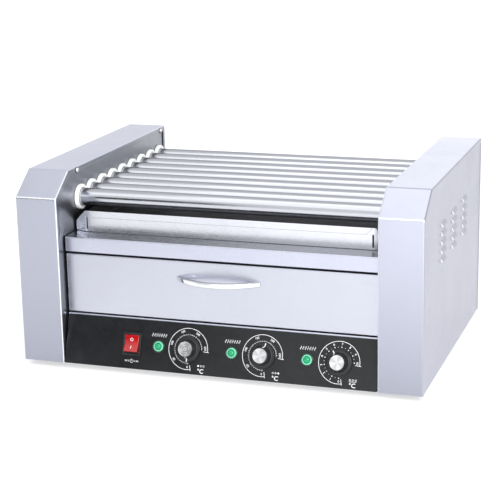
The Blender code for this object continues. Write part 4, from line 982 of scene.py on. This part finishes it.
def ink_text(words, size, centre, turn=0.0):
    """Printed figures, as thick as the rest of the ink."""
    curve = bpy.data.curves.new("figures", "FONT")
    curve.body = words
    curve.size = size
    curve.align_x, curve.align_y = "CENTER", "CENTER"
    curve.extrude = INK / 2
    curve.resolution_u = 3
    curve.offset = 0.012 * size
    obj = bpy.data.objects.new("figures", curve)
    bpy.context.scene.collection.objects.link(obj)
    bpy.context.view_layer.update()
    drawn = bpy.data.meshes.new_from_object(
        obj.evaluated_get(bpy.context.evaluated_depsgraph_get()))
    bm = bmesh.new()
    bm.from_mesh(drawn)
    bpy.data.meshes.remove(drawn)
    bpy.data.objects.remove(obj)
    bpy.data.curves.remove(curve)
    bmesh.ops.remove_doubles(bm, verts=bm.verts, dist=1e-6)
    return placed(bm, Matrix.Translation((*centre, INK / 2)) @ Matrix.Rotation(turn, 4, "Z"))


def round_scale(centre, radius, degrees):
    """A point at an angle clockwise from straight down."""
    turn = math.radians(degrees)
    return centre[0] - radius * math.sin(turn), centre[1] - radius * math.cos(turn)


SCALE_START, SCALE_SWEEP = -10, 285
RING = 28.6 * mm
END_BAR = 8.2 * mm
NUMBER_RING, DOT_RING, TICK_RING = 25.0 * mm, 20.8 * mm, 20.4 * mm
ZONE_SIGNS = {"front": (-1,), "back": (1,), "drawer": ()}      # which of three rings is filled
for zone, x in KNOB_X.items():
    middle = (x, CONTROL_LINE)
    marks = [ink_arc(RING, 0.7 * mm, SCALE_START, SCALE_SWEEP, middle)]
    for end in (SCALE_START, SCALE_START + SCALE_SWEEP):
        centre = round_scale(middle, RING - 2.1 * mm, end)
        marks.append(ink_bar((0.7 * mm, END_BAR), centre, -math.radians(end)))
    if zone == "drawer":
        for step in range(11):
            at = SCALE_START + 8 + step * (SCALE_SWEEP - 16) / 10
            marks.append(ink_text(str(step), 4.4 * mm, round_scale(middle, NUMBER_RING, at),
                                  math.radians(180 - at)))
            marks.append(ink_dot(0.75 * mm, round_scale(middle, DOT_RING, at)))
            if step < 10:
                marks.append(ink_dot(0.4 * mm, round_scale(middle, DOT_RING, at + 13.4)))
    else:
        marks.append(ink_arc(19.6 * mm, 0.35 * mm, SCALE_START + 4, SCALE_SWEEP - 8, middle))
        for step in range(6):
            at = SCALE_START + 9 + step * (SCALE_SWEEP - 20) / 5
            marks.append(ink_text(str(50 * step), 4.2 * mm, round_scale(middle, 24.9 * mm, at),
                                  math.radians(180 - at)))
        for step in range(31):
            at = SCALE_START + 9 + step * (SCALE_SWEEP - 20) / 30
            length = 1.7 * mm if step % 6 == 0 else 0.9 * mm
            marks.append(ink_bar((0.4 * mm, length),
                                 round_scale(middle, TICK_RING, at), -math.radians(at)))
    marks.append(ink_text("°C", 8.6 * mm, (x + 20.0 * mm, CONTROL_LINE - 29.5 * mm)))
    sign_x, sign_y = x + 20.5 * mm, CONTROL_LINE - 22.0 * mm
    for way in (-1, 0, 1):
        marks.append(ink_arc(1.1 * mm, 0.45 * mm, 0, 360, (sign_x + way * 4 * mm, sign_y), 16))
    for way in ZONE_SIGNS[zone]:
        marks.append(ink_dot(1.0 * mm, (sign_x + way * 4 * mm, sign_y)))
    if zone == "drawer":
        marks.append(ink_bar((10.2 * mm, 0.5 * mm), (sign_x, sign_y - 2.3 * mm)))
    shown("scale_" + zone, placed(gather(marks), PANEL_FRAME), [white_ink], "root")

signs = []
for x in LAMP_X.values():
    for k in range(7):
        wave = (x - 9.9 * mm + k * 3.3 * mm, CONTROL_LINE + 15.6 * mm)
        for start, way in ((20, 1), (200, -1)):
            signs.append(ink_arc(1.25 * mm, 0.6 * mm, start, 140,
                                 (wave[0] + way * 0.4 * mm, wave[1] - way * 1.05 * mm)))
power = (SWITCH_X + 1.0 * mm, CONTROL_LINE - 23.5 * mm)
signs.append(ink_arc(2.3 * mm, 0.55 * mm, 215, 290, power))
signs.append(ink_bar((0.55 * mm, 2.6 * mm), (power[0], power[1] + 1.5 * mm)))
for way in (-1, 1):
    for step in range(3):
        beside = power[0] + way * (5.0 + 2.2 * step) * mm
        signs.append(ink_bar((0.8 * mm, 2.2 * mm), (beside, power[1])))
shown("panel_signs", placed(gather(signs), PANEL_FRAME), [white_ink], "root")

# Mains switch. A black moulded frame in the panel round a red translucent
# rocker, moulded with the signs for off and on.
black_plastic, tree, shader = new_material("moulded_black", Specular_IOR_Level=0.5)
spark = textured(tree, "ShaderNodeTexNoise", Scale=1500.0, Detail=2.0).outputs["Fac"]
mask = smudges(tree, 55.0)
wear(tree, shader, mask, (0.012, 0.012, 0.013), (0.022, 0.022, 0.024))
roughen(tree, shader, spark, mask, 0.24, 0.34, 0.1)
bump(tree, shader, spark, 0.12, 0.0001)
red_plastic = handled("red_rocker", 60.0, (0.40, 0.004, 0.006), (0.32, 0.003, 0.005),
                      (0.16, 0.28), Coat_Weight=0.35, Coat_Roughness=0.12)

SWITCH_FRAME = PANEL_FRAME @ Matrix.Translation((SWITCH_X, CONTROL_LINE, 0))
bezel = block((27 * mm, 32 * mm, 2.0 * mm), (0, 0, GAP + 1.0 * mm))
corners = [e for e in bezel.edges if abs((e.verts[0].co - e.verts[1].co).z) > 1 * mm]
turn_edges(bezel, 1.6 * mm, 4, corners)
top = [f for f in bezel.faces if f.normal.z > 0.9]
bmesh.ops.inset_region(bezel, faces=top, thickness=2.6 * mm, use_even_offset=True)
bmesh.ops.inset_region(bezel, faces=top, thickness=0.3 * mm, depth=-0.5 * mm,
                       use_even_offset=True)
well = bmesh.ops.extrude_face_region(bezel, geom=top)
bmesh.ops.delete(bezel, geom=top, context="FACES_ONLY")
push(bezel, well, -12 * mm, 2)
body = block((24.4 * mm, 29.2 * mm, 23 * mm), (0, 0, -11.4 * mm))
open_up(body, lambda f: f.normal.z > 0.9)
shown("switch_frame", placed(gather([bezel, body]), SWITCH_FRAME), [black_plastic], "root",
      ["switch_housing"], round_edges=0.3 * mm)

ROCKER_TILT = math.radians(11)
ROCKER_HALF, ROCKER_RISE = 12 * mm, 4 * mm
end = ROCKER_RISE + ROCKER_HALF * math.tan(ROCKER_TILT)
rocker = swept([(-ROCKER_HALF, end), (0, ROCKER_RISE), (ROCKER_HALF, end),
                (ROCKER_HALF - 0.5 * mm, -2 * mm), (0, -6 * mm), (0.5 * mm - ROCKER_HALF, -2 * mm)],
               -10.2 * mm, 10.2 * mm)
rims = [e for e in rocker.edges if all(v.co.z > 3 * mm for v in e.verts)
        and not (abs(e.verts[0].co.y) < 1e-5 and abs(e.verts[1].co.y) < 1e-5)]
turn_edges(rocker, 0.9 * mm, 3, rims)
PIVOT = GAP + 2 * mm + GAP - ROCKER_RISE
ROCKER_FRAME = SWITCH_FRAME @ Matrix.Translation((0, 0, PIVOT)) @ Matrix.Rotation(
    -ROCKER_TILT, 4, "X")
shown("rocker_key", placed(rocker, ROCKER_FRAME), [red_plastic], "switch_rocker",
      ["switch_rocker"])
signs = [ink_arc(1.9 * mm, 0.7 * mm, 0, 360, (0, 0)), ink_bar((0.8 * mm, 4.2 * mm), (0, 0))]
for sign, bm in zip((1, -1), signs):
    lie = ROCKER_FRAME @ Matrix.Translation((0, 0, ROCKER_RISE)) @ Matrix.Rotation(
        sign * ROCKER_TILT, 4, "X") @ Matrix.Translation((0, sign * 5.6 * mm, 0))
    placed(bm, lie)
shown("rocker_signs", gather(signs), [white_ink], "switch_rocker")

# Pilot lamps. A black threaded body holds a green moulded lens: a pale flange
# ring round a deeper, faceted dome.


def green_lens(name, pale, deep, glow):
    """A lens lit faintly from behind."""
    mat, tree, shader = new_material(name, IOR=1.49, Coat_Weight=0.2, Coat_Roughness=0.05,
                                     Emission_Strength=glow)
    tint = wear(tree, shader, smudges(tree, 80.0), pale, deep, (0.12, 0.22))
    feed(shader, Emission_Color=tint)
    return mat


ring_green = green_lens("lamp_ring_green", (0.17, 0.60, 0.38), (0.12, 0.50, 0.30), 0.04)
dome_green = green_lens("lamp_dome_green", (0.006, 0.33, 0.14), (0.004, 0.26, 0.11), 0.06)
for zone, x in LAMP_X.items():
    place = PANEL_FRAME @ Matrix.Translation((x, CONTROL_LINE, 0))
    rim = lathe(in_mm((7.3, 1.4), (8.2, 1.9), (9.0, 1.6), (9.2, 1.0), (9.2, 0.4), (6, 0.4),
                      (6, -20), (0, -20), (0, -18), (5, -18), (5, 1.0)),
                40, place, closed=True)
    ring = lathe(in_mm((4.9, 2.5), (5.2, 3.3), (6.2, 3.2), (7.0, 2.5), (7.3, 1.3), (4.9, 1.1)),
                 40, place, closed=True)
    dome = lathe(in_mm((0, 5.2), (1.6, 5.1), (3.2, 4.6), (4.3, 3.7), (4.85, 2.6), (4.85, 1.2),
                       (0, 1.2)), 8, place)
    mark_faces(ring, 1)
    mark_faces(dome, 2)
    shown("pilot_lamp_" + zone, gather([rim, ring, dome]),
          [black_plastic, ring_green, dome_green], "root", ["lamp_" + zone],
          angle=28)

# Knobs and thermostats. Black moulded knobs with a skirt, a white pointer and
# a cap of spun aluminium, on thermostats in galvanised cans.
for zone in KNOB_X:
    dress(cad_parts["thermostat_" + zone], galvanised)
SETTINGS = {"front": 0.0, "back": 195.0, "drawer": 150.0}
POINTER = 1.4 * mm          # width of the white pointer
CAP_RING = 0.9 * mm         # from one turning mark on a cap to the next
for zone, x in KNOB_X.items():
    place = PANEL_FRAME @ Matrix.Translation((x, CONTROL_LINE, 1 * mm)) @ Matrix.Rotation(
        math.radians(-SETTINGS[zone]), 4, "Z")
    grip = lathe(in_mm((0, 11.3), (10.3, 11.3), (10.5, 11.9), (11.0, 12), (11.4, 11.6), (11.9, 9),
                       (13.1, 3.6), (13.9, 2.5), (14.6, 2.2), (16.6, 2.2), (17.0, 2.6),
                       (17.7, 2.4), (18, 1.6), (18, 0.3), (17.6, 0), (7, 0), (7, 5), (3, 5),
                       (3, -17), (0, -17)),
                 64, place)
    shown("knob_grip_" + zone, grip, [black_plastic], "knob_" + zone, ["knob_" + zone],
          angle=45)
    spun, tree, shader = new_material("spun_cap_" + zone, Metallic=1.0)
    shift = textured(tree, "ShaderNodeVectorMath", operation="SUBTRACT")
    shift.inputs[1].default_value = place.translation
    turn = add(tree, "ShaderNodeMapping", vector_type="POINT", Vector=shift.outputs[0],
               Rotation=PANEL_FRAME.to_3x3().inverted().to_euler()).outputs[0]
    axes = add(tree, "ShaderNodeSeparateXYZ", Vector=turn)
    # Painted reflection: the cap's colour goes lighter and darker by angle round its middle, the
    # fan of highlights of spun metal; the rings in roughness and bump are real turning marks.
    angle = math_node(tree, "ARCTAN2", axes.outputs["Y"], axes.outputs["X"])
    reflection_fan = math_node(tree, "SINE", math_node(tree, "MULTIPLY", angle, 4.0))
    reflection_streak = add(tree, "ShaderNodeTexNoise", noise_dimensions="1D", Scale=9.0, Detail=2.0,
                 W=angle)
    painted_reflection = math_node(tree, "ADD", math_node(tree, "MULTIPLY", reflection_fan, 0.30),
                         reflection_streak.outputs["Fac"])
    length = add(tree, "ShaderNodeVectorMath", operation="LENGTH", Vector=turn)
    rings = math_node(tree, "SINE", math_node(tree, "MULTIPLY", length.outputs["Value"],
                                              2 * math.pi / CAP_RING))
    feed(shader, Roughness=to_range(tree, rings, 0.22, 0.34, -1.0, 1.0),
         Base_Color=mix_colours(tree, to_range(tree, painted_reflection, 0.0, 1.0, 0.2, 0.8),
                                (0.66, 0.67, 0.69), (0.93, 0.93, 0.95)))
    bump(tree, shader, rings, 0.04, 0.0001)
    cap = lathe(in_mm((0, 11.75), (9.3, 11.75), (10.0, 11.95), (10.25, 11.5), (10.25, 11.0),
                      (0, 11.0)), 64, place)
    shown("knob_cap_" + zone, cap, [spun], "knob_" + zone)
    mark = block((POINTER, 5.0 * mm, 0.9 * mm), (0, -15.3 * mm, 2.35 * mm))
    rise = block((POINTER, 0.5 * mm, 8.4 * mm), (0, -12.45 * mm, 7.0 * mm),
                 Matrix.Rotation(math.radians(-12.5), 4, "X"))
    pointer = gather([mark, rise])
    shown("knob_pointer_" + zone, placed(pointer, place), [white_ink], "knob_" + zone,
          round_edges=0.15 * mm)

# Rear panel and cord outlet. A folded sheet with upright vents closes the bay;
# a bushed outlet in the right casing takes the mains lead.
REAR_HALF = X_LIP - GAP
REAR_TOP = ROLLER_Z - ROLLER_RADIUS - 6 * mm
VENT_WIDTH, VENT_HEIGHT, VENT_PITCH, VENT_COUNT = 5 * mm, 36 * mm, 26 * mm, 9
VENT_LOW = STAND_Z + 40 * mm
rear = block((2 * REAR_HALF, FLANGE, REAR_TOP - STAND_Z),
             (0, REAR - FLANGE / 2, (STAND_Z + REAR_TOP) / 2))
open_up(rear, lambda f: f.normal.y < -0.9)
turn_edges(rear, 1.6 * mm, 3)
sides = [((i - (VENT_COUNT - 1) / 2) * VENT_PITCH + s * VENT_WIDTH / 2, 0, 0)
         for i in range(VENT_COUNT) for s in (-1, 1)]
ends = [(0, 0, VENT_LOW), (0, 0, VENT_LOW + VENT_HEIGHT)]
for points, way in ((sides, (1, 0, 0)), (ends, (0, 0, 1))):
    for point in points:
        cut(rear, point, way, [f for f in rear.faces if f.normal.y > 0.99])


def in_vent(f):
    """Whether a face lies where a vent is cut."""
    middle = f.calc_center_median()
    step = middle.x / VENT_PITCH + (VENT_COUNT - 1) / 2
    return (f.normal.y > 0.99 and VENT_LOW < middle.z < VENT_LOW + VENT_HEIGHT
            and abs(step - round(step)) * VENT_PITCH < VENT_WIDTH / 2
            and -0.5 < step < VENT_COUNT - 0.5)


open_up(rear, in_vent)
shown("rear_sheet", rear, [across_steel], "root", ["rear_panel"], sheet=SHEET)
heads = [screw_head(3.0 * mm, facing((x, REAR, z), (0, 1, 0), x * 9))
         for x in (-0.205, -0.07, 0.07, 0.205) for z in (STAND_Z + 9 * mm, REAR_TOP - 9 * mm)]
shown("rear_screws", gather(heads), [screw_steel], "root")
outlet = lathe(in_mm((4, 9), (6.0, 9), (6.6, 8.6), (7, 4.6), (7.6, 4.0), (10.4, 3.4), (11, 2.8),
                     (11, 0.4), (7, 0.4), (7, -12), (4, -12)), 48,
               facing(((X_BACK + X_OUT - SHEET) / 2, REAR, BOTTOM + 37 * mm), (0, 1, 0)),
               closed=True)
shown("cord_outlet", outlet, [black_plastic], "root", ["cord_gland"])
